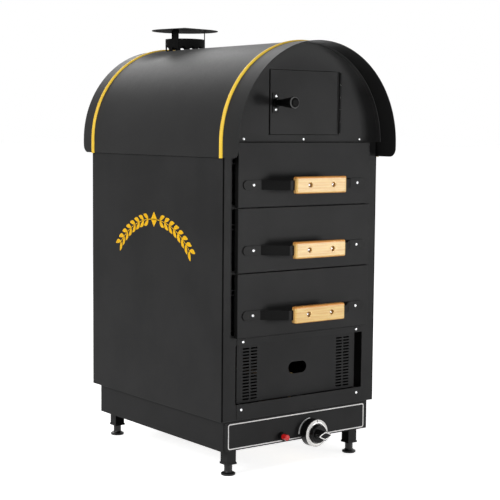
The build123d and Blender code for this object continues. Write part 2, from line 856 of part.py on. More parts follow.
def cap_outline(sheet):
    """The cap's cone in (radius, height), with a given thickness straight up."""
    return [(0, cap_cone), (cap_radius, 0), (cap_radius, sheet), (0, cap_cone + sheet)]


def flue_cap():
    """The shallow conical rain cap."""
    return Pos(0, flue_y, cap_rim) * turned(cap_outline(cap_sheet))


def flue_cap_straps():
    """Three straps riveted round the flue, that carry the cap."""
    above = Pos(0, flue_y, cap_rim) * turned(cap_outline(2 * cap_radius))
    straps = []
    for index in range(cap_strap_count):
        angle = cap_strap_turn + index * 360 / cap_strap_count
        strip = block((flue_radius, flue_radius + cap_strap_sheet),
                      (-cap_strap_width / 2, cap_strap_width / 2),
                      (hood_top + cap_strap_foot_rise, cap_rim + cap_cone))
        strip = Pos(0, flue_y, 0) * Rot(0, 0, angle) * strip
        strip -= rod_z(flue_radius, 0, flue_y, (hood_top, flue_top))
        straps.append(strip - above)
    return straps


# ---------------------------------------------------------------- burner cover
def burner_cover():
    """The vented cover: one hat-shaped sheet, recessed between its two screwed edges."""
    low = casing_bottom + cover_bottom_gap
    high = drawer_base - cover_top_gap
    bay_low = casing_bottom + cover_opening_bottom + cover_fit
    bay_high = drawer_base - cover_opening_top - cover_fit
    width = (-cover_half_width, cover_half_width)
    recess = (-cover_recess_half_width, cover_recess_half_width)
    recess_back = recess_face + cover_sheet
    cover = block(width, (cover_front, casing_front), (bay_high - cover_sheet, high))
    cover += block(width, (cover_front, casing_front), (low, bay_low + cover_sheet))
    cover += block(recess, (cover_front, recess_back), (bay_high - cover_sheet, bay_high))
    cover += block(recess, (cover_front, recess_back), (bay_low, bay_low + cover_sheet))
    cover += block(recess, (recess_face, recess_back), (bay_low, bay_high))
    return cover - air_slots(bay_low) - vents(bay_low) - sight_hole() - cover_screw_holes()


def air_slots(bay_low):
    """Long slots in the lower fold, through which the burner draws air."""
    room = 2 * cover_recess_half_width / air_slot_count
    cuts = Part()
    for index in range(air_slot_count):
        left = -cover_recess_half_width + index * room + air_slot_web
        cuts += block((left, left + room - 2 * air_slot_web), (casing_front, recess_face),
                      (bay_low - 1, bay_low + cover_sheet + 1))
    return cuts


def vents(bay_low):
    """Two columns of slots at each side of the recessed face."""
    slots = Sketch()
    for row in range(vent_rows):
        z = bay_low + vent_margin + vent_height / 2 + row * vent_pitch
        for column in range(vent_columns):
            x = cover_recess_half_width - vent_inset - column * vent_column_pitch
            slots += [Pos(side * x, z) * Rectangle(vent_width, vent_height) for side in (-1, 1)]
    return across(slots, (recess_face - 1, recess_face + cover_sheet + 1))


def sight_hole():
    """The oval hole for lighting and watching the flame."""
    hole = Pos(0, casing_bottom + sight_hole_rise) * SlotOverall(sight_hole_length, sight_hole_height)
    return across(hole, (recess_face - 1, recess_face + cover_sheet + 1))


def cover_screw_holes():
    """The holes of the cover's four screws."""
    return Part() + [screw_hole(x, z, (cover_front, casing_front)) for x, z in cover_screws]


# ---------------------------------------------------------------- plinth, legs and feet
def plinth():
    """The folded base frame, flanged at top and bottom, with a plate in each lower corner."""
    outer = (-plinth_half, plinth_half)
    inner = (-plinth_half + plinth_sheet, plinth_half - plinth_sheet)
    window = (inner[0] + plinth_flange, inner[1] - plinth_flange)
    inner_y = (plinth_wall_back, plinth_rear - plinth_sheet)
    window_y = (inner_y[0] + plinth_flange, inner_y[1] - plinth_flange)
    base = block(outer, (plinth_front, plinth_rear), (plinth_bottom, casing_bottom))
    base -= block(inner, inner_y, (plinth_bottom + plinth_sheet, casing_bottom - plinth_sheet))
    base -= block(window, window_y, (plinth_bottom - 1, casing_bottom + 1))
    for side in (-1, 1):
        for y, direction in ((plinth_front, 1), (plinth_rear, -1)):
            base += block((side * plinth_half, side * (plinth_half - corner_plate)),
                          (y, y + direction * corner_plate), (plinth_bottom, plinth_bottom + plinth_sheet))
            base -= rod_z(stud_radius + 1, side * socket_x,
                          socket_y_front if direction == 1 else socket_y_rear,
                          (plinth_bottom - 1, plinth_bottom + plinth_sheet + 1))
    base -= rod_y(spindle_hole_radius, knob_x, (plinth_front - 1, plinth_wall_back + 1), knob_z)
    base -= rod_y(igniter_barrel_radius, igniter_x, (plinth_front - 1, plinth_wall_back + 1), igniter_z)
    return base - rod_y(inlet_thread_radius, knob_x, (inner_y[1] - 1, plinth_rear + 1), knob_z)


def control_panel():
    """The fascia plate on the plinth's front, with holes for the gas tap and the igniter."""
    half = plinth_half - panel_side_margin
    low = plinth_bottom + panel_bottom_margin
    high = casing_bottom - panel_top_margin
    plate = across(Pos(0, (low + high) / 2) * rounded(2 * half, high - low, panel_corner),
                   (panel_front, plinth_front))
    plate -= rod_y(spindle_hole_radius, knob_x, (panel_front - 1, plinth_front + 1), knob_z)
    return plate - rod_y(igniter_barrel_radius, igniter_x, (panel_front - 1, plinth_front + 1), igniter_z)


def leg_sockets():
    """Four square sockets under the plinth, each with a lipped end and a threaded boss."""
    half = socket_size / 2
    hollow = half - socket_wall
    lip = half + socket_lip
    sockets = []
    for x in (-socket_x, socket_x):
        for y in (socket_y_front, socket_y_rear):
            socket = block((x - half, x + half), (y - half, y + half), (socket_bottom, plinth_bottom))
            socket += block((x - lip, x + lip), (y - lip, y + lip),
                            (socket_bottom, socket_bottom + socket_lip_height))
            socket -= block((x - hollow, x + hollow), (y - hollow, y + hollow),
                            (socket_bottom + socket_base, plinth_bottom + 1))
            socket += rod_z(stud_radius + 3, x, y, (socket_bottom, socket_bottom + 2 * socket_base))
            socket -= rod_z(stud_radius + hinge_clearance, x, y, (socket_bottom - 1, plinth_bottom))
            sockets.append(socket)
    return sockets


def levelling_foot(x, y):
    """A flared foot that turns on its threaded stud."""
    neck_end = foot_height - foot_end_gap
    flare = foot_pad_rim + foot_flare
    pad = foot_pad_radius
    outline = [(0, 0), (pad - 1.5, 0), (pad, 1.5), (pad, foot_pad_rim), (pad - 3, foot_pad_rim + 2),
               (foot_neck_radius + 2, flare - 3), (foot_neck_radius, flare), (foot_neck_radius, neck_end),
               (stud_radius, neck_end), (stud_radius, neck_end + stud_length),
               (0, neck_end + stud_length)]
    return Pos(x, y, 0) * turned(outline)


# ---------------------------------------------------------------- controls
def gas_valve():
    """The gas tap's body behind the panel, bored for the spindle and the plunger."""
    half_width = valve_width / 2
    half_height = valve_height / 2
    rear = plinth_wall_back + valve_depth
    body = block((knob_x - half_width, knob_x + half_width), (plinth_wall_back, rear),
                 (knob_z - half_height, knob_z + half_height))
    upright = [edge for edge in body.edges().filter_by(Axis.Y)]
    body = chamfer(upright, 4)
    bore_end = spindle_end + end_gap + plunger_length + knob_push + 2
    return body - rod_y(spindle_radius + spindle_clearance, knob_x, (plinth_wall_back - 1, bore_end), knob_z)


def valve_plunger():
    """The rod that the spindle presses to hold the flame-failure magnet open."""
    front = spindle_end + end_gap
    return rod_y(spindle_radius, knob_x, (front, front + plunger_length), knob_z)


def valve_spindle():
    """The spindle between the gas knob and the valve."""
    return rod_y(spindle_radius, knob_x, (knob_back - knob_bore_depth, spindle_end), knob_z)


def gas_knob():
    """The knob: a deep skirt, a tapering hub and a rhombic grip."""
    hub_top = knob_skirt_depth + knob_hub_depth
    hub_end = knob_hub_radius - 3
    body = turned([(0, 0), (knob_radius - 1, 0), (knob_radius, 1), (knob_radius, knob_skirt_depth),
                   (knob_hub_radius, knob_skirt_depth), (hub_end, hub_top - 2), (hub_end - 2, hub_top),
                   (0, hub_top)])
    body += Pos(0, 0, knob_skirt_depth) * extrude(grip_outline(), amount=knob_hub_depth + knob_grip_depth)
    body -= Pos(0, 0, knob_bore_depth / 2) * Cylinder(spindle_radius, knob_bore_depth)
    return facing_front(body, knob_x, knob_back, knob_z)


def grip_outline():
    """A rhomb with round corners, across the knob."""
    half = knob_grip_length / 2 + knob_grip_round / 4
    side = knob_grip_height / 2 + knob_grip_round / 4
    rhomb = make_face(Polyline((half, 0), (0, side), (-half, 0), (0, -side), close=True))
    return fillet(rhomb.vertices(), knob_grip_round)


def gas_knob_ring():
    """The bevelled metal ring on the knob's skirt."""
    inner = knob_hub_radius
    ring = turned([(inner, 0), (knob_radius, 0), (knob_radius, 1), (inner + 3, knob_ring_height),
                   (inner, knob_ring_height)])
    return facing_front(ring - grip_core(), knob_x, knob_back - knob_skirt_depth, knob_z)


def grip_core():
    """The room that the grip takes where it meets the ring."""
    return extrude(grip_outline(), amount=2 * knob_ring_height)


def igniter_body():
    """The piezo igniter: a bezel on the panel, a barrel behind it and its nut."""
    front = panel_front - igniter_bezel_depth
    rear = plinth_wall_back + igniter_barrel_depth
    body = rod_y(igniter_bezel_radius, igniter_x, (front, panel_front), igniter_z)
    body += rod_y(igniter_barrel_radius, igniter_x, (panel_front, rear), igniter_z)
    nut = RegularPolygon(igniter_nut_radius, 6)
    body += across(Pos(igniter_x, igniter_z) * nut, (plinth_wall_back, plinth_wall_back + igniter_nut_depth))
    bore_end = front + button_stem + button_travel + 2
    return body - rod_y(button_radius + button_clearance, igniter_x, (front - 1, bore_end), igniter_z)


def igniter_button():
    """The red push button, with its stem in the igniter's bore."""
    front = panel_front - igniter_bezel_depth - button_proud
    rear = panel_front - igniter_bezel_depth + button_stem
    button = rod_y(button_radius, igniter_x, (front, rear), igniter_z)
    rim = [edge for edge in button.edges() if abs(edge.center().Y - front) < 0.01]
    return chamfer(rim, 1)


# ---------------------------------------------------------------- gas train and burner
def gas_pipe():
    """The pipe from the valve up to the injector in front of the burner."""
    y = casing_front + gas_pipe_y
    start = (knob_x - valve_width / 2, y, knob_z)
    corner = (0, y, knob_z)
    end = (0, y, burner_z - injector_radius)
    path = FilletPolyline(start, corner, end, radius=gas_pipe_bend)
    pipe = sweep(Plane(origin=start, z_dir=(-1, 0, 0)) * Circle(gas_pipe_radius), path=path)
    holder = rod_y(injector_radius, 0, (y - injector_length / 2, y + injector_length / 2), burner_z)
    nozzle_front = y + injector_length / 2
    holder += rod_y(nozzle_radius, 0, (nozzle_front, nozzle_front + nozzle_length), burner_z)
    return pipe + holder + rod_z(gas_pipe_radius, 0, y, (burner_z - injector_radius, burner_z))


def supply_pipe():
    """The supply pipe through the plinth, with the flanged inlet thread at the rear."""
    wall_inner = plinth_rear - plinth_sheet
    flange_end = plinth_rear + inlet_flange_sheet
    pipe = rod_y(supply_pipe_radius, knob_x, (plinth_wall_back + valve_depth, wall_inner), knob_z)
    pipe += rod_y(inlet_thread_radius, knob_x, (wall_inner, plinth_rear), knob_z)
    flange = RegularPolygon(inlet_flange_radius, 6)
    pipe += across(Pos(knob_x, knob_z) * flange, (plinth_rear, flange_end))
    pipe += rod_y(inlet_thread_radius, knob_x, (flange_end, flange_end + inlet_thread_length), knob_z)
    bore = (plinth_wall_back + valve_depth - 1, flange_end + inlet_thread_length + 1)
    return pipe - rod_y(supply_pipe_bore, knob_x, bore, knob_z)


def burner_tube():
    """The bar burner: a bell mouth, a throat and a closed tube slit along its top."""
    wall = burner_wall
    places = [(burner_mouth_y, burner_mouth_radius), (burner_throat_y, burner_throat_radius),
              (burner_body_y, burner_radius), (burner_end_y, burner_radius)]
    outer = [(radius, y) for y, radius in places]
    inner = [(radius - wall, y) for y, radius in places[:-1]]
    outline = outer + [(0, burner_end_y), (0, burner_end_y - wall),
                       (burner_radius - wall, burner_end_y - wall)] + inner[::-1]
    tube = Pos(0, casing_front, burner_z) * Rot(-90, 0, 0) * turned(outline)
    middle = (burner_body_y + burner_end_y) / 2
    first = middle - (port_count - 1) * port_pitch / 2
    for index in range(port_count):
        y = casing_front + first + index * port_pitch
        tube -= block((-burner_radius, burner_radius), (y - port_width / 2, y + port_width / 2),
                      (burner_z + burner_radius - port_depth, burner_z + burner_radius + 1))
    return tube


def burner_saddles():
    """Two folded cradles that carry the burner on the casing's floor."""
    saddles = []
    for y in (casing_front + front_saddle_y, casing_front + rear_saddle_y):
        width = (-saddle_half_width, saddle_half_width)
        saddle = block(width, (y, y + saddle_sheet), (floor_top, burner_z))
        saddle += block(width, (y, y - saddle_foot), (floor_top, floor_top + saddle_sheet))
        saddles.append(saddle - rod_y(burner_radius, 0, (y - 1, y + saddle_sheet + 1), burner_z))
    return saddles


def pilot_assembly():
    """The bracket on the front cradle, with the spark electrode and the thermocouple."""
    rear = casing_front + front_saddle_y
    left = pilot_x - pilot_shelf_width / 2
    right = pilot_x + pilot_shelf_width / 2
    shelf_z = burner_z + pilot_shelf_rise
    shelf = block((left, right), (rear - pilot_shelf_depth, rear), (shelf_z, shelf_z + pilot_sheet))
    shelf += block((left, right), (rear - pilot_sheet, rear), (shelf_z - 24, shelf_z + pilot_sheet))
    for side in (-1, 1):
        shelf += rod_z(probe_radius, pilot_x + side * probe_spacing / 2, rear - pilot_shelf_depth / 2,
                       (shelf_z - probe_height / 2, shelf_z + probe_height / 2))
    return shelf


# ---------------------------------------------------------------- build
save("left_side_panel", side_panel(-1))
save("right_side_panel", side_panel(1))
save("back_panel", back_panel())
save("front_frame", front_frame())
save("casing_floor", casing_floor())
save("compartment_floor", compartment_floor())
save("casing_screws", *casing_screw_set())
save("chamber_liner", chamber_liner())
save("insulation_slabs", *insulation_slabs())
save("drawer_runners", *drawer_runners())
save("hood_shell", hood_shell())
save("front_gable", front_gable())
save("rear_gable", rear_gable())
save("hood_trims", hood_trim(casing_front + front_trim_setback), hood_trim(casing_rear - rear_trim_setback))
save("gable_flap", gable_flap())
save("hinge_fixed_leaf", hinge_fixed_leaf())
save("hinge_moving_leaf", hinge_moving_leaf())
save("hinge_pin", hinge_pin())
save("flap_knob_plate", flap_knob_plate())
save("flap_knob", flap_knob())
save("flap_screws", *flap_screws())
save("magnet_catch", magnet_catch())
save("flue_pipe", flue_pipe())
save("flue_cap", flue_cap())
save("flue_cap_straps", *flue_cap_straps())
save("burner_cover", burner_cover())
save("plinth", plinth())
save("control_panel", control_panel())
save("leg_sockets", *leg_sockets())
save("foot_front_left", levelling_foot(-socket_x, socket_y_front))
save("foot_front_right", levelling_foot(socket_x, socket_y_front))
save("foot_rear_left", levelling_foot(-socket_x, socket_y_rear))
save("foot_rear_right", levelling_foot(socket_x, socket_y_rear))
save("gas_valve", gas_valve())
save("valve_plunger", valve_plunger())
save("valve_spindle", valve_spindle())
save("gas_knob", gas_knob())
save("gas_knob_ring", gas_knob_ring())
save("igniter_body", igniter_body())
save("igniter_button", igniter_button())
save("gas_pipe", gas_pipe())
save("supply_pipe", supply_pipe())
save("burner_tube", burner_tube())
save("burner_saddles", *burner_saddles())
save("pilot_assembly", pilot_assembly())
for level in range(drawer_count):
    number = drawer_count - level
    save(f"drawer_front_{number}", drawer_front(level))
    save(f"drawer_tray_{number}", drawer_tray(level))
    save(f"handle_strap_{number}", handle_strap(level))
    save(f"handle_grip_{number}", handle_grip(level))
    save(f"handle_screws_{number}", *handle_screws(level))
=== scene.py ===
import json
from math import cos, pi, radians, sin

import bpy
import numpy as np
from mathutils import Matrix, Vector


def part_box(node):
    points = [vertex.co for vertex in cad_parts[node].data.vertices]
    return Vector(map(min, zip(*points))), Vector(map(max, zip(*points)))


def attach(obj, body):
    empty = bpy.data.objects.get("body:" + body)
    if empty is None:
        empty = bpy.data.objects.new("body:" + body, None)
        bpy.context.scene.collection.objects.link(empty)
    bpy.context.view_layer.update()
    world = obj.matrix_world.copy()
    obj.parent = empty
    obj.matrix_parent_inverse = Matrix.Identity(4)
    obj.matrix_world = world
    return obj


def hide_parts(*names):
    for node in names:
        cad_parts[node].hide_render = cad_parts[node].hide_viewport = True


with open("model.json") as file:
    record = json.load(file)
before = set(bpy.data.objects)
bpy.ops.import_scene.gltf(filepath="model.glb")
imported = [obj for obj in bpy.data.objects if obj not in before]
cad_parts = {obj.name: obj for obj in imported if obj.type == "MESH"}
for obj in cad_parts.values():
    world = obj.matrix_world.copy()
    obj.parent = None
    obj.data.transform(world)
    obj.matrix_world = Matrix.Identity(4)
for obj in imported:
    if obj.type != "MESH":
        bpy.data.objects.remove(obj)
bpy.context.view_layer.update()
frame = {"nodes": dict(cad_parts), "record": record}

# A free-standing baked potato oven in black powder-coated sheet, with beech grips, yellow beads
# round its hood and a printed control panel. Metres, in the CAD frame: the front faces -Y.

MM = 0.001


# ------------------------------------------------------------------ places read from the CAD
def low_corner(name):
    """The lowest x, y and z of a node's box."""
    return np.array(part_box(name)[0])


def high_corner(name):
    """The highest x, y and z of a node's box."""
    return np.array(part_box(name)[1])


def middle_of(name):
    """The middle of a node's box."""
    return (low_corner(name) + high_corner(name)) / 2


casing_left, casing_front, casing_bottom = low_corner("left_side_panel")
panel_face = low_corner("control_panel")[1]
panel_middle = middle_of("control_panel")[2]
outline_middle = 1.75 * MM
knob_centre = middle_of("gas_knob")
knob_face = low_corner("gas_knob")[1]
ring_face = low_corner("gas_knob_ring")[1]
grip_face = low_corner("handle_grip_1")[1]
grip_middle = middle_of("handle_grip_1")[2]
grip_pitch = abs(low_corner("handle_grip_1")[2] - low_corner("handle_grip_2")[2])
barrel_radius = high_corner("hood_shell")[0]
barrel_axis = high_corner("hood_shell")[2] - barrel_radius
flue_centre = middle_of("flue_pipe")
flap_knob_centre = middle_of("flap_knob")
flap_knob_end = low_corner("flap_knob")[1]
seam_inner, seam_outer = -casing_left - 3.6 * MM, -casing_left - 2.8 * MM
# Where the painted shadow round the flue is full, and where it has faded.
flue_shade_full, flue_shade_end = 70 * MM, 150 * MM
dust_grey = (0.22, 0.20, 0.18, 1)
film_height = 0.12 * MM


# ------------------------------------------------------------------ nodes of a material
def node(tree, kind, inputs=None, **settings):
    """Adds a node, gives it its settings, and sets or links its inputs by name or number."""
    made = tree.nodes.new(kind)
    for key, value in settings.items():
        setattr(made, key, value)
    for key, value in (inputs or {}).items():
        if isinstance(value, bpy.types.NodeSocket):
            tree.links.new(value, made.inputs[key])
        else:
            made.inputs[key].default_value = value
    return made


def maths(tree, operation, first, second=0.0, clamp=False):
    """One Math node's result."""
    return node(tree, "ShaderNodeMath", {0: first, 1: second}, operation=operation,
                use_clamp=clamp).outputs[0]


def times(tree, first, second):
    """The product of two values."""
    return maths(tree, "MULTIPLY", first, second)


def span(tree, value, low, high, to_low=0.0, to_high=1.0):
    """A value carried from one span to another with soft ends."""
    made = node(tree, "ShaderNodeMapRange", {"Value": value, "From Min": low, "From Max": high,
                                             "To Min": to_low, "To Max": to_high},
                interpolation_type="SMOOTHSTEP")
    return made.outputs["Result"]


def below(tree, value, low, high):
    """1 up to the low end of a span, and 0 from its high end, with a soft step between."""
    return span(tree, value, low, high, 1.0, 0.0)


def blended(tree, share, first, second):
    """Two colours mixed by a share from 0 to 1."""
    made = node(tree, "ShaderNodeMix", {"Factor": share, "A": first, "B": second}, data_type="RGBA")
    return made.outputs["Result"]


def noise(tree, vector, scale, detail=3.0, roughness=0.5, distortion=0.0):
    """The value of a noise texture."""
    made = node(tree, "ShaderNodeTexNoise", {"Vector": vector, "Scale": scale, "Detail": detail,
                                             "Roughness": roughness, "Distortion": distortion})
    return made.outputs["Fac"]


def stretched(tree, vector, scale):
    """A place stretched along the axes."""
    return node(tree, "ShaderNodeMapping", {"Vector": vector, "Scale": scale}).outputs["Vector"]


def placed(tree):
    """The place on the object, in metres."""
    return node(tree, "ShaderNodeTexCoord").outputs["Object"]


def apart(tree, vector):
    """The three parts of a vector."""
    return node(tree, "ShaderNodeSeparateXYZ", {0: vector}).outputs


def size_of(tree, first, second):
    """The length of a vector from two of its parts."""
    both = node(tree, "ShaderNodeCombineXYZ", {0: first, 1: second}).outputs[0]
    return node(tree, "ShaderNodeVectorMath", {0: both}, operation="LENGTH").outputs["Value"]


def own_normal(tree):
    """The parts of the surface's normal, in the object's frame."""
    return apart(tree, node(tree, "ShaderNodeTexCoord").outputs["Normal"])


def radius_round(tree, first, second, centre_first, centre_second):
    """The distance from an axis, in the plane of two parts of a place."""
    return size_of(tree, maths(tree, "SUBTRACT", first, centre_first),
                   maths(tree, "SUBTRACT", second, centre_second))


def new_group(name, inputs, outputs):
    """An empty shader node group with its sockets, and its two end nodes."""
    tree = bpy.data.node_groups.new(name, "ShaderNodeTree")
    for label, kind, default in inputs:
        socket = tree.interface.new_socket(label, in_out="INPUT", socket_type=kind)
        if default is not None:
            socket.default_value = default
    for label, kind in outputs:
        tree.interface.new_socket(label, in_out="OUTPUT", socket_type=kind)
    return tree, tree.nodes.new("NodeGroupInput"), tree.nodes.new("NodeGroupOutput")


# ------------------------------------------------------------------ shared effects
def edge_wear_group():
    """Edge wear: where the rounded normal leaves the true one, broken up by noise."""
    tree, start, end = new_group("edge wear", [("Vector", "NodeSocketVector", None),
                                               ("Radius", "NodeSocketFloat", 0.001),
                                               ("Breakup", "NodeSocketFloat", 60.0)],
                                 [("Mask", "NodeSocketFloat"), ("Normal", "NodeSocketVector")])
    bevel = node(tree, "ShaderNodeBevel", {"Radius": start.outputs["Radius"]}, samples=4)
    true_normal = node(tree, "ShaderNodeNewGeometry").outputs["Normal"]
    agreement = node(tree, "ShaderNodeVectorMath", {0: bevel.outputs["Normal"], 1: true_normal},
                     operation="DOT_PRODUCT").outputs["Value"]
    bend = maths(tree, "SUBTRACT", 1.0, agreement)
    patches = noise(tree, start.outputs["Vector"], start.outputs["Breakup"], 4.0, 0.6)
    worn = times(tree, span(tree, bend, 0.02, 0.25), span(tree, patches, 0.35, 0.65))
    tree.links.new(worn, end.inputs["Mask"])
    tree.links.new(bevel.outputs["Normal"], end.inputs["Normal"])
    return tree


def coat_grain_group():
    """Orange peel of a sprayed or moulded skin: two noises, one fine and one coarse."""
    tree, start, end = new_group("coat grain", [("Vector", "NodeSocketVector", None),
                                                ("Scale", "NodeSocketFloat", 700.0)],
                                 [("Height", "NodeSocketFloat"), ("Cloud", "NodeSocketFloat")])
    fine = noise(tree, start.outputs["Vector"], start.outputs["Scale"], 2.0, 0.5)
    coarse_scale = times(tree, start.outputs["Scale"], 0.3)
    coarse = noise(tree, start.outputs["Vector"], coarse_scale, 2.0, 0.5)
    height = maths(tree, "ADD", times(tree, fine, 0.6), times(tree, coarse, 0.4))
    cloud = noise(tree, start.outputs["Vector"], 7.0, 4.0, 0.55)
    tree.links.new(height, end.inputs["Height"])
    tree.links.new(cloud, end.inputs["Cloud"])
    return tree


def dust_group():
    """Dust: faces that look up, broken up by noise."""
    tree, start, end = new_group("dust", [("Vector", "NodeSocketVector", None),
                                          ("Amount", "NodeSocketFloat", 0.2)],
                                 [("Mask", "NodeSocketFloat")])
    normal = node(tree, "ShaderNodeNewGeometry").outputs["Normal"]
    upward = apart(tree, normal)["Z"]
    drift = noise(tree, start.outputs["Vector"], 35.0, 6.0, 0.65)
    mask = times(tree, span(tree, upward, 0.35, 1.0), span(tree, drift, 0.35, 0.75))
    tree.links.new(times(tree, mask, start.outputs["Amount"]), end.inputs["Mask"])
    return tree


edge_wear = edge_wear_group()
coat_grain = coat_grain_group()
dust = dust_group()


def effect(tree, group, inputs):
    """One of the shared effects, placed in a material."""
    return node(tree, "ShaderNodeGroup", inputs, node_tree=group)


def new_material(name, **constants):
    """A material with a Principled shader whose plain values are set on its own sockets."""
    material = bpy.data.materials.new(name)
    material.use_nodes = True
    tree = material.node_tree
    tree.nodes.clear()
    shader = tree.nodes.new("ShaderNodeBsdfPrincipled")
    for key, value in constants.items():
        shader.inputs[key.replace("_", " ")].default_value = value
    output = tree.nodes.new("ShaderNodeOutputMaterial")
    tree.links.new(shader.outputs["BSDF"], output.inputs["Surface"])
    return material, tree, shader


def bumped(tree, shader, height, strength, distance, normal=None):
    """Feeds a height into the shader's normal."""
    inputs = {"Height": height, "Strength": strength, "Distance": distance}
    if normal is not None:
        inputs["Normal"] = normal
    bump = node(tree, "ShaderNodeBump", inputs)
    tree.links.new(bump.outputs["Normal"], shader.inputs["Normal"])


# ------------------------------------------------------------------ finishes
def corner_seam_shade(tree, at):
    """Painted shade along the seams at the casing's two front corners."""
    place = apart(tree, at)
    beside = span(tree, maths(tree, "ABSOLUTE", place["X"]), seam_inner, seam_outer)
    ahead = below(tree, place["Y"], casing_front + 1.5 * MM, casing_front + 3.5 * MM)
    return times(tree, beside, ahead)


def lower_edge_highlight(tree, at):
    """A painted highlight along the thin lower edge of the casing's sheets."""
    return below(tree, apart(tree, at)["Z"], casing_bottom + 1.0 * MM, casing_bottom + 2.2 * MM)


def hood_inside_shade(tree, at):
    """Painted shade on the inner side of the hood's sheet: nearer the barrel's axis than its outer side."""
    place = apart(tree, at)
    above = maths(tree, "MAXIMUM", maths(tree, "SUBTRACT", place["Z"], barrel_axis), 0.0)
    radius = size_of(tree, place["X"], above)
    return below(tree, radius, barrel_radius - 1.3 * MM, barrel_radius - 1.0 * MM)


def flue_shadow_mark(tree, at):
    """Painted shadow and reflection of the flue on the hood round it, that fades outwards."""
    place = apart(tree, at)
    radius = radius_round(tree, place["X"], place["Y"], flue_centre[0], flue_centre[1])
    return below(tree, radius, flue_shade_full, flue_shade_end)


def flange_edge_highlight(tree, at):
    """A painted highlight on the front edge of the gable's flange."""
    return below(tree, apart(tree, at)["Y"], casing_front - 11.9 * MM, casing_front - 11.6 * MM)


def arch_band_light(tree, at):
    """Painted light: the gable's paler band close under the hood's arch."""
    place = apart(tree, at)
    above = maths(tree, "SUBTRACT", place["Z"], barrel_axis)
    radius = size_of(tree, place["X"], above)
    near_arch = span(tree, radius, barrel_radius - 75 * MM, barrel_radius - 15 * MM)
    return times(tree, near_arch, span(tree, above, 120 * MM, 190 * MM))


def flap_knob_rim_highlight(tree, at):
    """A painted highlight on the rim round the end of the flap's knob."""
    place = apart(tree, at)
    radius = radius_round(tree, place["X"], place["Z"], flap_knob_centre[0], flap_knob_centre[2])
    rim = times(tree, span(tree, radius, 11.5 * MM, 12.5 * MM), below(tree, radius, 14.0 * MM, 15.0 * MM))
    return times(tree, rim, below(tree, place["Y"], flap_knob_end + 2 * MM, flap_knob_end + 6 * MM))


def left_face_shade(tree, at):
    """Painted shade on faces that look to the left."""
    return below(tree, own_normal(tree)["X"], -0.98, -0.88)


def inner_face_shade(tree, at):
    """Painted shade on faces that look in under the oven.

    They look forwards behind the oven's middle, or to the left on its right side.
    """
    place, facing = apart(tree, at), own_normal(tree)
    forwards = times(tree, below(tree, facing["Y"], -0.7, -0.5), span(tree, place["Y"], 0, 10 * MM))
    leftwards = times(tree, below(tree, facing["X"], -0.7, -0.5), span(tree, place["X"], 0, 10 * MM))
    return maths(tree, "MAXIMUM", forwards, leftwards)


def turned_away_shade(tree, at):
    """Painted shade on faces that don't look straight at the user."""
    return below(tree, maths(tree, "ABSOLUTE", own_normal(tree)["Y"]), 0.88, 0.98)


def coated_steel(name, colour, light, roughness, level, grain=700.0, wear=(0.16, 0.15, 0.14, 1),
                 dusty=0.05, marks=(), sheen=0.0):
    """Sprayed sheet steel: fine grain, slightly cloudy colour, thin dust, paler folds, and marks.

    Each mark is (where, share, colour): a function that gives a mask, how strong it is, its colour. The
    marks given below are painted shade and painted highlights.
    A mark is also duller than the coat round it.
    """
    material, tree, shader = new_material(name, IOR=1.5)
    shader.inputs["Specular IOR Level"].default_value = level
    shader.inputs["Sheen Weight"].default_value = sheen
    shader.inputs["Sheen Roughness"].default_value = 0.3
    at = placed(tree)
    dulled = 0.0
    skin = effect(tree, coat_grain, {"Vector": at, "Scale": grain})
    edges = effect(tree, edge_wear, {"Vector": at, "Radius": 1.2 * MM, "Breakup": 45.0})
    film = effect(tree, dust, {"Vector": at, "Amount": dusty})
    cloud = span(tree, skin.outputs["Cloud"], 0.3, 0.7)
    paint = blended(tree, cloud, colour, light)
    paint = blended(tree, times(tree, edges.outputs["Mask"], 0.35), paint, wear)
    paint = blended(tree, film.outputs["Mask"], paint, dust_grey)
    for where, share, mark in marks:
        covered = times(tree, where(tree, at), share)
        paint = blended(tree, covered, paint, mark)
        dulled = maths(tree, "MAXIMUM", dulled, covered)
    tree.links.new(paint, shader.inputs["Base Color"])
    matt = span(tree, skin.outputs["Height"], 0.3, 0.7, roughness - 0.05, roughness + 0.05)
    matt = maths(tree, "ADD", matt, times(tree, film.outputs["Mask"], 0.3), clamp=True)
    matt = maths(tree, "ADD", matt, times(tree, dulled, 0.5), clamp=True)
    tree.links.new(matt, shader.inputs["Roughness"])
    bumped(tree, shader, skin.outputs["Height"], 0.25, 0.12 * MM, edges.outputs["Normal"])
    return material


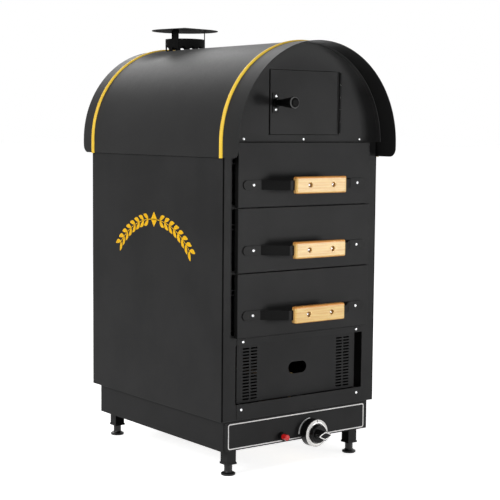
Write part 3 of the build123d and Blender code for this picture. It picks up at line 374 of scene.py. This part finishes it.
def beech():
    """Varnished beech: long grain with short dark flecks.

    Its end faces are paler, as painted light. Its upper and lower edges are redder, and it is darker behind
    its front face, in the bores and on the faces set back from it, as painted shade. It is also redder where
    it is rubbed.
    """
    material, tree, shader = new_material("varnished beech", Roughness=0.38)
    shader.inputs["Coat Roughness"].default_value = 0.18
    shader.inputs["Coat Weight"].default_value = 0.15
    shader.inputs["Specular IOR Level"].default_value = 0.2
    at = placed(tree)
    along = stretched(tree, at, (9.0, 120.0, 120.0))
    grain = noise(tree, along, 1.0, 6.0, 0.62, 0.4)
    rings = node(tree, "ShaderNodeTexWave", {"Vector": stretched(tree, at, (2.5, 30.0, 38.0)), "Scale": 1.2,
                                             "Distortion": 5.0, "Detail": 3.0, "Detail Scale": 1.5},
                 wave_type="BANDS", bands_direction="Z").outputs["Fac"]
    fleck = node(tree, "ShaderNodeTexVoronoi", {"Vector": stretched(tree, at, (150.0, 900.0, 900.0)),
                                                "Scale": 1.0}, feature="F1").outputs["Distance"]
    flecks = maths(tree, "SUBTRACT", 1.0, span(tree, fleck, 0.08, 0.26))
    edges = effect(tree, edge_wear, {"Vector": at, "Radius": 2.4 * MM, "Breakup": 90.0})
    # Painted light: the end faces are paler.
    ends = span(tree, maths(tree, "ABSOLUTE", own_normal(tree)["X"]), 0.3, 0.9)
    place = apart(tree, at)
    above = maths(tree, "SUBTRACT", place["Z"], grip_middle)
    above = node(tree, "ShaderNodeMath", {0: above, 1: grip_pitch / 2, 2: -grip_pitch / 2},
                 operation="WRAP").outputs[0]
    # Painted shade: the grip's upper and lower edges are redder.
    rims = maths(tree, "ADD", span(tree, above, 15.0 * MM, 17.0 * MM),
                 below(tree, above, -20.0 * MM, -18.0 * MM))
    # Painted shade: darker behind the front face, in the bores and on the faces set back from it.
    sunk = span(tree, place["Y"], grip_face + 1.5 * MM, grip_face + 4.0 * MM)
    tone = blended(tree, span(tree, grain, 0.3, 0.7), (0.94, 0.64, 0.22, 1), (0.82, 0.46, 0.12, 1))
    tone = blended(tree, times(tree, rings, 0.35), tone, (0.97, 0.73, 0.31, 1))
    tone = blended(tree, times(tree, flecks, 0.45), tone, (0.52, 0.24, 0.07, 1))
    tone = blended(tree, times(tree, edges.outputs["Mask"], 0.4), tone, (0.80, 0.33, 0.04, 1))
    tone = blended(tree, times(tree, ends, 0.3), tone, (0.95, 0.66, 0.26, 1))
    tone = blended(tree, times(tree, rims, 0.8), tone, (0.76, 0.29, 0.05, 1))
    tone = blended(tree, times(tree, sunk, 0.5), tone, (0.30, 0.12, 0.03, 1))
    tree.links.new(tone, shader.inputs["Base Color"])
    bumped(tree, shader, maths(tree, "SUBTRACT", grain, times(tree, flecks, 0.4)), 0.3, 0.15 * MM,
           edges.outputs["Normal"])
    return material


def bright_metal(name, colour, roughness, grain, stretch=(1.0, 1.0, 1.0)):
    """Plated or turned metal: metallic, with a fine grain drawn along one axis."""
    material, tree, shader = new_material(name, Metallic=1.0)
    at = placed(tree)
    lines = noise(tree, stretched(tree, at, stretch), grain, 4.0, 0.6)
    edges = effect(tree, edge_wear, {"Vector": at, "Radius": 0.5 * MM, "Breakup": 120.0})
    dull = tuple(0.8 * part for part in colour[:3]) + (1,)
    tone = blended(tree, span(tree, lines, 0.3, 0.7), colour, dull)
    tone = blended(tree, times(tree, edges.outputs["Mask"], 0.4), tone, (0.95, 0.95, 0.93, 1))
    tree.links.new(tone, shader.inputs["Base Color"])
    dullness = span(tree, lines, 0.2, 0.8, roughness - 0.06, roughness + 0.08)
    tree.links.new(dullness, shader.inputs["Roughness"])
    bumped(tree, shader, lines, 0.15, 0.05 * MM, edges.outputs["Normal"])
    return material


def galvanised():
    """Hot-dipped zinc sheet, dark all over as painted shade for the oven's dark inside: large zinc crystals
    of different dark greys.
    """
    material, tree, shader = new_material("shade-darkened zinc sheet", Metallic=1.0)
    at = placed(tree)
    crystals = node(tree, "ShaderNodeTexVoronoi", {"Vector": at, "Scale": 110.0, "Randomness": 1.0})
    facet = node(tree, "ShaderNodeSeparateColor", {0: crystals.outputs["Color"]}).outputs[0]
    smear = noise(tree, at, 14.0, 5.0, 0.6)
    tone = blended(tree, facet, (0.035, 0.035, 0.038, 1), (0.07, 0.07, 0.074, 1))
    tone = blended(tree, span(tree, smear, 0.45, 0.8, 0.0, 0.5), tone, (0.035, 0.027, 0.02, 1))
    tree.links.new(tone, shader.inputs["Base Color"])
    tree.links.new(span(tree, facet, 0.0, 1.0, 0.42, 0.6), shader.inputs["Roughness"])
    bumped(tree, shader, facet, 0.1, 0.05 * MM)
    return material


def mineral_wool():
    """Matted mineral fibre: crossed streaks of ochre and brown."""
    material, tree, shader = new_material("mineral wool", Roughness=0.95)
    at = placed(tree)
    first = noise(tree, stretched(tree, at, (300.0, 60.0, 900.0)), 1.0, 6.0, 0.7, 1.0)
    second = noise(tree, stretched(tree, at, (800.0, 500.0, 90.0)), 1.0, 6.0, 0.7, 1.0)
    fibres = times(tree, first, second)
    # Both browns are dark, as painted shade for the oven's dark inside.
    tone = blended(tree, span(tree, fibres, 0.15, 0.4), (0.07, 0.055, 0.035, 1), (0.20, 0.165, 0.11, 1))
    tree.links.new(tone, shader.inputs["Base Color"])
    bumped(tree, shader, fibres, 0.8, 1.5 * MM)
    return material


def moulded(name, colour, light, roughness, level, grain, marks=()):
    """Moulded plastic: slightly uneven colour, fine grain, softly rounded edges, and marks as above."""
    material, tree, shader = new_material(name)
    shader.inputs["Specular IOR Level"].default_value = level
    at = placed(tree)
    skin = effect(tree, coat_grain, {"Vector": at, "Scale": grain})
    edges = effect(tree, edge_wear, {"Vector": at, "Radius": 0.8 * MM, "Breakup": 150.0})
    tone = blended(tree, span(tree, skin.outputs["Height"], 0.3, 0.7), colour, light)
    tone = blended(tree, times(tree, edges.outputs["Mask"], 0.25), tone,
                   tuple(min(1.0, 1.6 * part + 0.02) for part in colour[:3]) + (1,))
    for where, share, mark in marks:
        tone = blended(tree, times(tree, where(tree, at), share), tone, mark)
    tree.links.new(tone, shader.inputs["Base Color"])
    tree.links.new(span(tree, skin.outputs["Height"], 0.3, 0.7, roughness - 0.04, roughness + 0.05),
                   shader.inputs["Roughness"])
    bumped(tree, shader, skin.outputs["Height"], 0.12, 0.05 * MM, edges.outputs["Normal"])
    return material


def heated_steel():
    """Stainless steel with straw and blue heat tints in bands round the flame."""
    material, tree, shader = new_material("heated stainless", Metallic=1.0)
    at = placed(tree)
    haze = noise(tree, stretched(tree, at, (20.0, 6.0, 20.0)), 1.0, 5.0, 0.6, 0.6)
    tone = blended(tree, span(tree, haze, 0.3, 0.55), (0.16, 0.15, 0.14, 1), (0.14, 0.09, 0.05, 1))
    tone = blended(tree, span(tree, haze, 0.55, 0.75), tone, (0.06, 0.06, 0.10, 1))
    tree.links.new(tone, shader.inputs["Base Color"])
    tree.links.new(span(tree, haze, 0.2, 0.8, 0.28, 0.5), shader.inputs["Roughness"])
    bumped(tree, shader, noise(tree, stretched(tree, at, (900.0, 40.0, 900.0)), 1.0), 0.2, 0.05 * MM)
    return material


def enamel(name, colour, light, roughness, level=0.5):
    """Screen-printed or brushed enamel: dense colour with a faint mottling."""
    material, tree, shader = new_material(name)
    shader.inputs["Specular IOR Level"].default_value = level
    at = placed(tree)
    mottle = noise(tree, at, 900.0, 3.0, 0.6)
    patches = noise(tree, at, 25.0, 4.0, 0.6)
    tone = blended(tree, span(tree, patches, 0.3, 0.7), colour, light)
    tree.links.new(tone, shader.inputs["Base Color"])
    dullness = span(tree, mottle, 0.3, 0.7, roughness - 0.05, roughness + 0.08)
    tree.links.new(dullness, shader.inputs["Roughness"])
    bumped(tree, shader, mottle, 0.15, 0.05 * MM)
    return material


def powder_coat(name, colour=(0.021, 0.021, 0.0213, 1), light=(0.026, 0.026, 0.0263, 1), level=0.045,
                **more):
    """The oven's black powder coat, in its usual greys unless others are given."""
    return coated_steel(name, colour, light, 0.42, level, **more)


# Near-black for painted shade.
shade_black = (0.002, 0.002, 0.002, 1)
# Grey for the painted highlight along the casing's lower edge.
edge_highlight_grey = (0.06, 0.06, 0.06, 1)
# Grey for the painted highlight on the gable flange's edge.
flange_highlight_grey = (0.13, 0.13, 0.13, 1)
# Grey for the painted light band under the hood's arch.
painted_light_grey = (0.085, 0.085, 0.085, 1)
# Grey for the painted highlight on the flap knob's rim.
rim_highlight_grey = (0.16, 0.16, 0.16, 1)
black_coat = powder_coat("black powder coat")
# The casing coat has painted shade in its front corner seams and a painted highlight along its lower edge.
casing_coat = powder_coat("black casing coat",
                          marks=[(corner_seam_shade, 0.9, shade_black), (lower_edge_highlight, 0.6, edge_highlight_grey)])
# The hood coat is a darker copy of the black coat, as painted shade. It has painted shade inside the hood
# and a painted shadow and reflection round the flue.
hood_coat = powder_coat("black hood coat", (0.016, 0.016, 0.0162, 1), (0.020, 0.020, 0.0202, 1), level=0.08,
                        marks=[(hood_inside_shade, 0.5, shade_black), (flue_shadow_mark, 0.95, shade_black)], sheen=0.25)
# The gable coat is a lighter copy of the black coat, as painted light. It also has a painted highlight on
# its flange's edge and a painted light band under the arch.
gable_coat = powder_coat("black gable coat", (0.027, 0.027, 0.0273, 1), (0.033, 0.033, 0.0333, 1),
                         marks=[(flange_edge_highlight, 0.9, flange_highlight_grey), (arch_band_light, 0.6, painted_light_grey)])
# The drawer coat has painted shade on the drawer fronts' left faces.
drawer_coat = powder_coat("black drawer coat", marks=[(left_face_shade, 0.9, shade_black)])
# The plinth coat is a darker copy of the black coat, as painted shade under the casing.
plinth_coat = powder_coat("black plinth coat", (0.018, 0.018, 0.0183, 1), (0.022, 0.022, 0.0223, 1))
# The leg coat has painted shade on the sockets' faces under the oven.
leg_coat = powder_coat("black leg coat", marks=[(inner_face_shade, 0.95, shade_black)])
# The strap coat is a darker copy of the black coat, as painted shade, with more painted shade on its faces
# that don't look at the user.
strap_coat = coated_steel("black strap coat", (0.017, 0.017, 0.017, 1), (0.021, 0.021, 0.021, 1), 0.4, 0.045,
                          grain=900.0, dusty=0.02, marks=[(turned_away_shade, 0.5, shade_black)])
flue_coat = coated_steel("black flue paint", (0.004, 0.004, 0.004, 1), (0.007, 0.007, 0.007, 1), 0.75, 0.06,
                         grain=600.0, wear=(0.08, 0.075, 0.07, 1), dusty=0.03)
yellow_coat = coated_steel("yellow bead enamel", (0.92, 0.58, 0.05, 1), (1.0, 0.68, 0.07, 1), 0.4, 0.2,
                           grain=500.0, wear=(0.55, 0.25, 0.02, 1))
yellow_print = enamel("yellow print", (0.93, 0.50, 0.010, 1), (1.0, 0.57, 0.018, 1), 0.45, 0.10)
silver_print = enamel("silver print", (0.76, 0.74, 0.73, 1), (0.86, 0.84, 0.83, 1), 0.4)
white_print = enamel("white print", (0.85, 0.85, 0.84, 1), (0.93, 0.93, 0.92, 1), 0.4)
black_print = enamel("black print", (0.02, 0.02, 0.02, 1), (0.035, 0.035, 0.035, 1), 0.4)
zinc = bright_metal("bright zinc", (0.88, 0.89, 0.90, 1), 0.24, 700.0)
turned_silver = bright_metal("turned ring", (0.56, 0.55, 0.535, 1), 0.26, 500.0, (1.0, 0.2, 1.0))
brass = bright_metal("machined brass", (0.80, 0.58, 0.26, 1), 0.32, 400.0)
bakelite = moulded("black bakelite", (0.004, 0.004, 0.004, 1), (0.006, 0.006, 0.006, 1), 0.16, 0.15, 1200.0)
# Worn bakelite, with a painted highlight on the flap knob's rim.
worn_highlit_bakelite = moulded("worn bakelite", (0.003, 0.003, 0.003, 1), (0.005, 0.005, 0.005, 1), 0.38, 0.03,
                        1200.0, marks=[(flap_knob_rim_highlight, 0.8, rim_highlight_grey)])
matt_black = moulded("matt black plastic", (0.004, 0.004, 0.004, 1), (0.007, 0.007, 0.007, 1), 0.45, 0.08,
                     900.0)
foot_coat = moulded("black foot", (0.004, 0.004, 0.004, 1), (0.007, 0.007, 0.007, 1), 0.3, 0.3, 900.0)
red_plastic = moulded("red plastic", (0.68, 0.012, 0.012, 1), (0.78, 0.02, 0.02, 1), 0.24, 0.5, 800.0)
grip_wood = beech()
# The zinc sheet inside the oven is darkened, as painted shade.
shade_darkened_zinc = galvanised()
wool = mineral_wool()
hot_steel = heated_steel()

finish_of_slot = {"powder_black": black_coat, "trim_yellow": yellow_coat, "beech": grip_wood,
                  "zinc_steel": zinc, "galvanised": shade_darkened_zinc, "mineral_wool": wool,
                  "black_plastic": bakelite, "matt_black": matt_black, "silver_ring": turned_silver,
                  "red_plastic": red_plastic, "brass": brass, "burner_steel": hot_steel}
finish_of_start = {"handle_strap": strap_coat, "flap_knob_plate": strap_coat, "flap_knob": worn_highlit_bakelite,
                   "flue": flue_coat, "hood_shell": hood_coat, "front_gable": gable_coat,
                   "gable_flap": gable_coat, "left_side_panel": casing_coat,
                   "right_side_panel": casing_coat, "front_frame": casing_coat,
                   "drawer_front": drawer_coat, "plinth": plinth_coat, "leg_sockets": leg_coat,
                   "foot_": foot_coat}


def finish_of(name, slot):
    """The finish given to the start of a node's name, or else its slot's."""
    own = [finish for start, finish in finish_of_start.items() if name.startswith(start)]
    return own[0] if own else finish_of_slot[slot]


slot_of_node = {part["node"]: part["material_slot"] for part in frame["record"]["subparts"]}
for name, solid in frame["nodes"].items():
    solid.data.materials.clear()
    solid.data.materials.append(finish_of(name, slot_of_node[name]))


# ------------------------------------------------------------------ surfaces
def grid_faces(rows, columns, closed=False):
    """Quads between neighbouring points of a grid, as an array of four indices each.

    A closed grid also joins its last column to its first.
    """
    row = np.arange(rows - 1)
    column = np.arange(columns if closed else columns - 1)
    row, column = np.meshgrid(row, column, indexing="ij")
    next_column = (column + 1) % columns
    corners = (row * columns + column, (row + 1) * columns + column,
               (row + 1) * columns + next_column, row * columns + next_column)
    return np.stack([corner.ravel() for corner in corners], axis=1)


def piece(name, patches, material, body, smooth=True):
    """One mesh from a list of (points, faces), in place, riding on a body."""
    points, faces, count = [], [], 0
    for patch_points, patch_faces in patches:
        flat = np.asarray(patch_points, dtype=float).reshape(-1, 3)
        points.append(flat)
        faces.append(np.asarray(patch_faces) + count)
        count += len(flat)
    points = np.concatenate(points)
    faces = np.concatenate(faces)
    mesh = bpy.data.meshes.new(name)
    mesh.vertices.add(len(points))
    mesh.vertices.foreach_set("co", points.ravel())
    mesh.loops.add(faces.size)
    mesh.loops.foreach_set("vertex_index", faces.ravel().astype(np.int32))
    mesh.polygons.add(len(faces))
    mesh.polygons.foreach_set("loop_start", np.arange(0, faces.size, 4, dtype=np.int32))
    mesh.polygons.foreach_set("loop_total", np.full(len(faces), 4, dtype=np.int32))
    mesh.polygons.foreach_set("use_smooth", np.full(len(faces), smooth))
    mesh.update(calc_edges=True)
    mesh.validate()
    mesh.materials.append(material)
    made = bpy.data.objects.new(name, mesh)
    bpy.context.collection.objects.link(made)
    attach(made, body)
    return made


def printed_band(path, other_path, height=film_height, closed=False):
    """A printed film between two paths that face the user, with the rims at its two sides.

    Its profile is foot, top, top, foot, and the top lies a height in front of the paths.
    """
    lift = np.array([0.0, -height, 0.0])
    rows = np.stack([path, path + lift, other_path + lift, other_path])
    return rows, grid_faces(rows.shape[0], rows.shape[1], closed)


def on_front(x, z, y):
    """Points on a plane that faces the user, or on a face whose depth y changes along them."""
    return np.stack([x, np.zeros_like(x) + y, z], axis=-1)


def on_left(points, lift=0.15):
    """(y, z) points in millimetres, put on the casing's left side."""
    flat = np.asarray(points)
    x = np.full(flat.shape[:-1], casing_left / MM - lift)
    return np.stack([x, flat[..., 0], flat[..., 1]], axis=-1) * MM


def around(turn):
    """Unit vectors at some angles."""
    return np.stack([np.cos(turn), np.sin(turn)], axis=-1)


def quarter_turned(vectors):
    """Vectors in a plane, each turned a quarter turn counter-clockwise."""
    return np.stack([-vectors[..., 1], vectors[..., 0]], axis=-1)


def round_rectangle(half_size, radius, count=12):
    """Points round a rectangle with quarter-circle corners, counter-clockwise seen from the front."""
    centres = np.array([(1, 1), (-1, 1), (-1, -1), (1, -1)]) * (half_size - radius)
    turns = np.arange(4)[:, None] * pi / 2 + np.linspace(0, pi / 2, count)
    corners = centres[:, None, :] + radius * around(turns)
    return corners.reshape(-1, 2)


# ------------------------------------------------------------------ printed control panel
def panel_outline():
    """The silver line round the panel: the band between two rounded rectangles."""
    centre = np.array([outline_middle, panel_middle])
    half_size, corner, line = np.array([225.75, 32.6]) * MM, 6.5 * MM, 2.75 * MM
    paths = [round_rectangle(half_size - inset, corner - inset) + centre for inset in (0.0, line)]
    edges = [on_front(path[:, 0], path[:, 1], panel_face) for path in paths]
    band = printed_band(*edges, closed=True)
    return piece("panel_outline", [band], silver_print, "cabinet", smooth=False)


def flame_scale():
    """A quarter arc beside the tap: thin at the top, and thicker towards the left.

    Its inner edge is an arc, and its outer edge's radius grows evenly with the angle.
    """
    inner_radius, thin, thick, count = 35.6 * MM, 1.8 * MM, 4.6 * MM, 48
    turn = np.linspace(radians(92), radians(182), count)
    outer_radius = inner_radius + np.linspace(thin, thick, count)
    edges = [on_front(knob_centre[0] + radius * np.cos(turn), knob_centre[2] + radius * np.sin(turn),
                      panel_face)
             for radius in (outer_radius, inner_radius)]
    band = printed_band(*edges)
    return piece("flame_scale", [band], white_print, "cabinet", smooth=False)


def tap_mark():
    """The dark tick at the top of the tap's ring, laid along the slope of the ring's face.

    The face falls back evenly with the radius, between the slope's inner and outer radius.
    """
    slope_inner, slope_outer, slope_fall = 29.5 * MM, 35.8 * MM, 2.5 * MM
    half_width = 1.2 * MM
    reach = np.linspace(30.0, 35.0, 6) * MM
    fall = np.interp(reach, [slope_inner, slope_outer], [0.0, slope_fall])
    edges = [on_front(np.full_like(reach, knob_centre[0] + side), knob_centre[2] + reach, ring_face + fall)
             for side in (-half_width, half_width)]
    band = printed_band(*edges)
    return piece("tap_mark", [band], black_print, "tap_knob", smooth=False)


def grip_outline():
    """The silver inlay round the end of the tap's grip: the band between two soft rhombs.

    On a soft rhomb, a point's distances across and up, each as a share of its half size and raised
    to an exponent a little above 1, add up to 1. So each is the cosine or the sine of an angle,
    raised to 2 over that exponent, with its sign kept.
    """
    exponent, inlay_height = 1.22, 0.5 * MM
    outer_half, inner_half = (21.0, 10.2), (17.2, 7.6)
    ring = around(np.linspace(0, 2 * pi, 96, endpoint=False))
    soft = np.sign(ring) * abs(ring) ** (2 / exponent)
    paths = [soft * half * MM + knob_centre[[0, 2]] for half in (outer_half, inner_half)]
    edges = [on_front(path[:, 0], path[:, 1], knob_face) for path in paths]
    band = printed_band(*edges, inlay_height, closed=True)
    return piece("grip_outline", [band], turned_silver, "tap_knob", smooth=False)


# ------------------------------------------------------------------ painted ornament
garland_radius = 228.0
garland_centre = np.array([casing_front / MM + 308.0, casing_bottom / MM + 485.0 - garland_radius])


def garland_leaves():
    """Leaf pairs along both halves of the arch, one leaf on its upper and one on its lower side.

    Each leaf leans off the arch's tangent. It is a lens that runs along its own line: at a share t
    of its length its width is the sine of half a turn times t, to the power 0.8, and it bows aside
    by the same sine. Sizes are in millimetres.
    """
    pairs, pitch, first = 8, 5.6, 6.8
    length, half_width, bow, lean_angle = 27.0, 5.6, 2.5, radians(34)
    side = np.repeat([1.0, -1.0, 1.0, -1.0], pairs)
    lean_side = np.repeat([1.0, -1.0, -1.0, 1.0], pairs)
    outward = around(np.radians(90 + side * np.tile(first + pitch * np.arange(pairs), 4)))
    foot = garland_centre + garland_radius * outward
    tangent = quarter_turned(outward) * side[:, None]
    lean = (lean_side * lean_angle)[:, None]
    direction = tangent * np.cos(lean) + quarter_turned(tangent) * np.sin(lean)
    sideways = quarter_turned(direction)[:, None, None, :]
    t, s = np.linspace(0, 1, 13), np.linspace(-1, 1, 5)
    lens = half_width * np.sin(pi * t)[:, None] ** 0.8 * s
    bend = bow * np.sin(pi * t)[:, None] * lean_side[:, None, None]
    spine = foot[:, None, None, :] + direction[:, None, None, :] * (length * t)[:, None, None]
    return spine + sideways * (bend + lens)[..., None]


def garland_stem():
    """The stem: a thin band on the arch, between two circles."""
    half_angle, half_width = radians(47), 0.9
    arch = around(np.linspace(pi / 2 - half_angle, pi / 2 + half_angle, 90))
    lines = [garland_centre + (garland_radius + offset) * arch for offset in (-half_width, 0.0, half_width)]
    return np.stack(lines, axis=1)


def garland_lozenge():
    """The lozenge at the arch's top: the sums and differences of two shares from -1/2 to 1/2."""
    half_width, half_height = 15.0, 20.0
    a, b = np.meshgrid(np.linspace(-0.5, 0.5, 9), np.linspace(-0.5, 0.5, 9), indexing="ij")
    rhomb = np.stack([(a - b) * half_width, (a + b) * half_height], axis=-1)
    return garland_centre + (0, garland_radius) + rhomb


def side_garland():
    """An arched garland of leaf pairs that run out from a lozenge, on the casing's left side."""
    grids = [*garland_leaves(), garland_stem(), garland_lozenge()]
    patches = [(on_left(grid), grid_faces(*grid.shape[:2])) for grid in grids]
    return piece("side_garland", patches, yellow_print, "cabinet", smooth=False)


# ------------------------------------------------------------------ screws
def cross_screw(x, y, z, turn, radius=3.8, height=2.2, depth=1.2):
    """A domed head with a cross recess, facing the user. Its own sizes are in millimetres.

    The dome's height falls outwards as the square root of 1 less the square of the radius's share.
    The recess sinks it by the depth where either arm of the cross, turned by its own angle, covers
    the point.
    """
    rings, sectors, least = 17, 40, 0.05
    ring = np.linspace(0.0, 1.0, rings)[:, None] ** 0.8
    angle = np.linspace(0, 2 * pi, sectors, endpoint=False)[None, :]
    px, pz = radius * ring * np.cos(angle), radius * ring * np.sin(angle)
    dome = height * np.clip(1 - ring ** 2, 0, 1) ** 0.5 + 0 * angle
    arm_x = px * cos(turn) + pz * sin(turn)
    arm_z = -px * sin(turn) + pz * cos(turn)
    arms = np.maximum(recess(arm_x, arm_z), recess(arm_z, arm_x))
    dome = np.maximum(dome - depth * arms, least * (ring < 0.999))
    points = np.stack([x + px * MM, y - dome * MM, z + pz * MM], axis=-1)
    return points, grid_faces(rings, sectors, closed=True)


def recess(along, across, half_length=2.3, half_width=0.75):
    """How far one arm of a cross recess is sunk at a point, from 0 to 1, with sloped sides."""
    return np.clip((half_length - abs(along)) / 0.4, 0, 1) * np.clip((half_width - abs(across)) / 0.3, 0, 1)


def screw_heads(replaced, body, seats):
    """The heads of one node's screws, each with its own turn, in place of its plain ones."""
    patches = [cross_screw(x, y, z, 0.7 * index + 0.3) for index, (x, y, z) in enumerate(seats)]
    made = piece(replaced + "_heads", patches, zinc, body)
    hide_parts(replaced)
    return made


def casing_seats():
    """The seats of the gable's three screws and of the burner cover's four."""
    casing_top = high_corner("left_side_panel")[2]
    cover_top, cover_face = high_corner("burner_cover")[2], low_corner("burner_cover")[1]
    rows = [((-189, 0, 189), casing_front, casing_top + 6.5 * MM),
            ((-187, 187), cover_face, cover_top - 7.5 * MM),
            ((-191, 191), cover_face, casing_bottom + 26 * MM)]
    return [(x * MM, face, height) for across, face, height in rows for x in across]


def flap_seats():
    """The seats of the two screws above and below the flap's knob."""
    plate, face = middle_of("flap_knob_plate"), low_corner("flap_knob_plate")[1]
    return [(plate[0], face, plate[2] + above * MM) for above in (-16.5, 16.5)]


def handle_seats(number):
    """The seats of a handle's screws: two on the strap's feet and two in the grip's bores."""
    strap_foot = high_corner(f"handle_strap_{number}")[1] - 3 * MM
    bore_floor = low_corner(f"handle_grip_{number}")[1] + 6 * MM
    height = middle_of(f"handle_strap_{number}")[2]
    seats = [(-169, strap_foot), (169, strap_foot), (-37.7, bore_floor), (37.7, bore_floor)]
    return [(x * MM, face, height) for x, face in seats]


# ------------------------------------------------------------------ the pieces
panel_outline()
flame_scale()
tap_mark()
grip_outline()
side_garland()
screw_heads("casing_screws", "cabinet", casing_seats())
screw_heads("flap_screws", "flap", flap_seats())
for number in (1, 2, 3):
    screw_heads(f"handle_screws_{number}", f"drawer_{number}", handle_seats(number))


# ------------------------------------------------------------------ camera, light and floor
def aim_camera():
    """A long lens, level with the drawers and to the left of the oven's front."""
    azimuth, dip, roll = radians(37.13), radians(5.37), radians(0.5)
    ahead = Vector((sin(azimuth) * cos(dip), cos(azimuth) * cos(dip), -sin(dip)))
    right = ahead.cross(Vector((0, 0, 1))).normalized()
    up = right.cross(ahead)
    right, up = cos(roll) * right + sin(roll) * up, -sin(roll) * right + cos(roll) * up
    eye = Vector((-2.1206, casing_front - 2.5804, casing_bottom + 0.7284))
    data = bpy.data.cameras.new("camera")
    data.sensor_width = 36.0
    data.lens = 94.58
    data.shift_y = 0.0005
    data.clip_end = 200.0
    camera = bpy.data.objects.new("camera", data)
    bpy.context.collection.objects.link(camera)
    pose = Matrix((right, up, -ahead)).transposed().to_4x4()
    pose.translation = eye
    camera.matrix_world = pose
    bpy.context.scene.camera = camera


def area_light(name, place, target, size, power):
    """A square soft box that looks at a point."""
    data = bpy.data.lights.new(name, "AREA")
    data.shape = "SQUARE"
    data.size = size
    data.energy = power
    lamp = bpy.data.objects.new(name, data)
    bpy.context.collection.objects.link(lamp)
    lamp.location = place
    lamp.rotation_euler = (Vector(target) - Vector(place)).to_track_quat("-Z", "Y").to_euler()
    return lamp


def seen_share(tree):
    """1 for rays from the camera, a mirror or a glass, 0 for rays that carry light."""
    path = node(tree, "ShaderNodeLightPath")
    share = maths(tree, "MAXIMUM", path.outputs["Is Camera Ray"], path.outputs["Is Glossy Ray"])
    return maths(tree, "MAXIMUM", share, path.outputs["Is Transmission Ray"])


def set_world():
    """A pale room: white where it is seen, and softer as a light."""
    world = bpy.data.worlds.new("pale room")
    bpy.context.scene.world = world
    world.use_nodes = True
    tree = world.node_tree
    tree.nodes.clear()
    strength = span(tree, seen_share(tree), 0.0, 1.0, 0.15, 1.0)
    back = node(tree, "ShaderNodeBackground", {"Color": (1, 1, 1, 1), "Strength": strength})
    output = tree.nodes.new("ShaderNodeOutputWorld")
    tree.links.new(back.outputs[0], output.inputs["Surface"])


def lay_floor():
    """A pale floor, a disc whose rings widen outwards in equal ratios, that keeps the oven's shadow."""
    rings, sectors, inner_radius, outer_radius = 13, 64, 0.3, 60.0
    ring = np.concatenate([[0.0], np.geomspace(inner_radius, outer_radius, rings - 1)])[:, None]
    angle = np.linspace(0, 2 * pi, sectors, endpoint=False)[None, :]
    points = np.stack([ring * np.cos(angle), ring * np.sin(angle), 0 * ring * angle], axis=-1)
    mesh = bpy.data.meshes.new("floor")
    faces = grid_faces(rings, sectors, closed=True)
    mesh.from_pydata(points.reshape(-1, 3).tolist(), [], faces.tolist())
    mesh.validate()
    material, tree, shader = new_material("pale floor", Roughness=0.9)
    shader.inputs["Specular IOR Level"].default_value = 0.1
    cloud = noise(tree, placed(tree), 0.6, 2.0)
    tone = blended(tree, cloud, (0.90, 0.90, 0.90, 1), (0.92, 0.92, 0.92, 1))
    tree.links.new(tone, shader.inputs["Base Color"])
    shader.inputs["Emission Color"].default_value = (1, 1, 1, 1)
    tree.links.new(times(tree, seen_share(tree), 0.85), shader.inputs["Emission Strength"])
    mesh.materials.append(material)
    floor = bpy.data.objects.new("floor", mesh)
    bpy.context.collection.objects.link(floor)


aim_camera()
set_world()
lay_floor()
area_light("key", place=(-1.5, -3.3, 0.95), target=(0.0, 0.0, 0.7), size=1.8, power=9.0)
area_light("low right", place=(2.5, -3.7, 0.3), target=(0.0, -0.3, 0.7), size=1.1, power=102.0)
area_light("left", place=(-3.1, -0.45, 2.2), target=(0.0, 0.0, 0.7), size=1.6, power=71.0)
area_light("rear", place=(0.6, 3.2, 3.0), target=(0.0, 0.1, 1.0), size=2.2, power=42.0)
bpy.context.scene.view_settings.view_transform = "Standard"
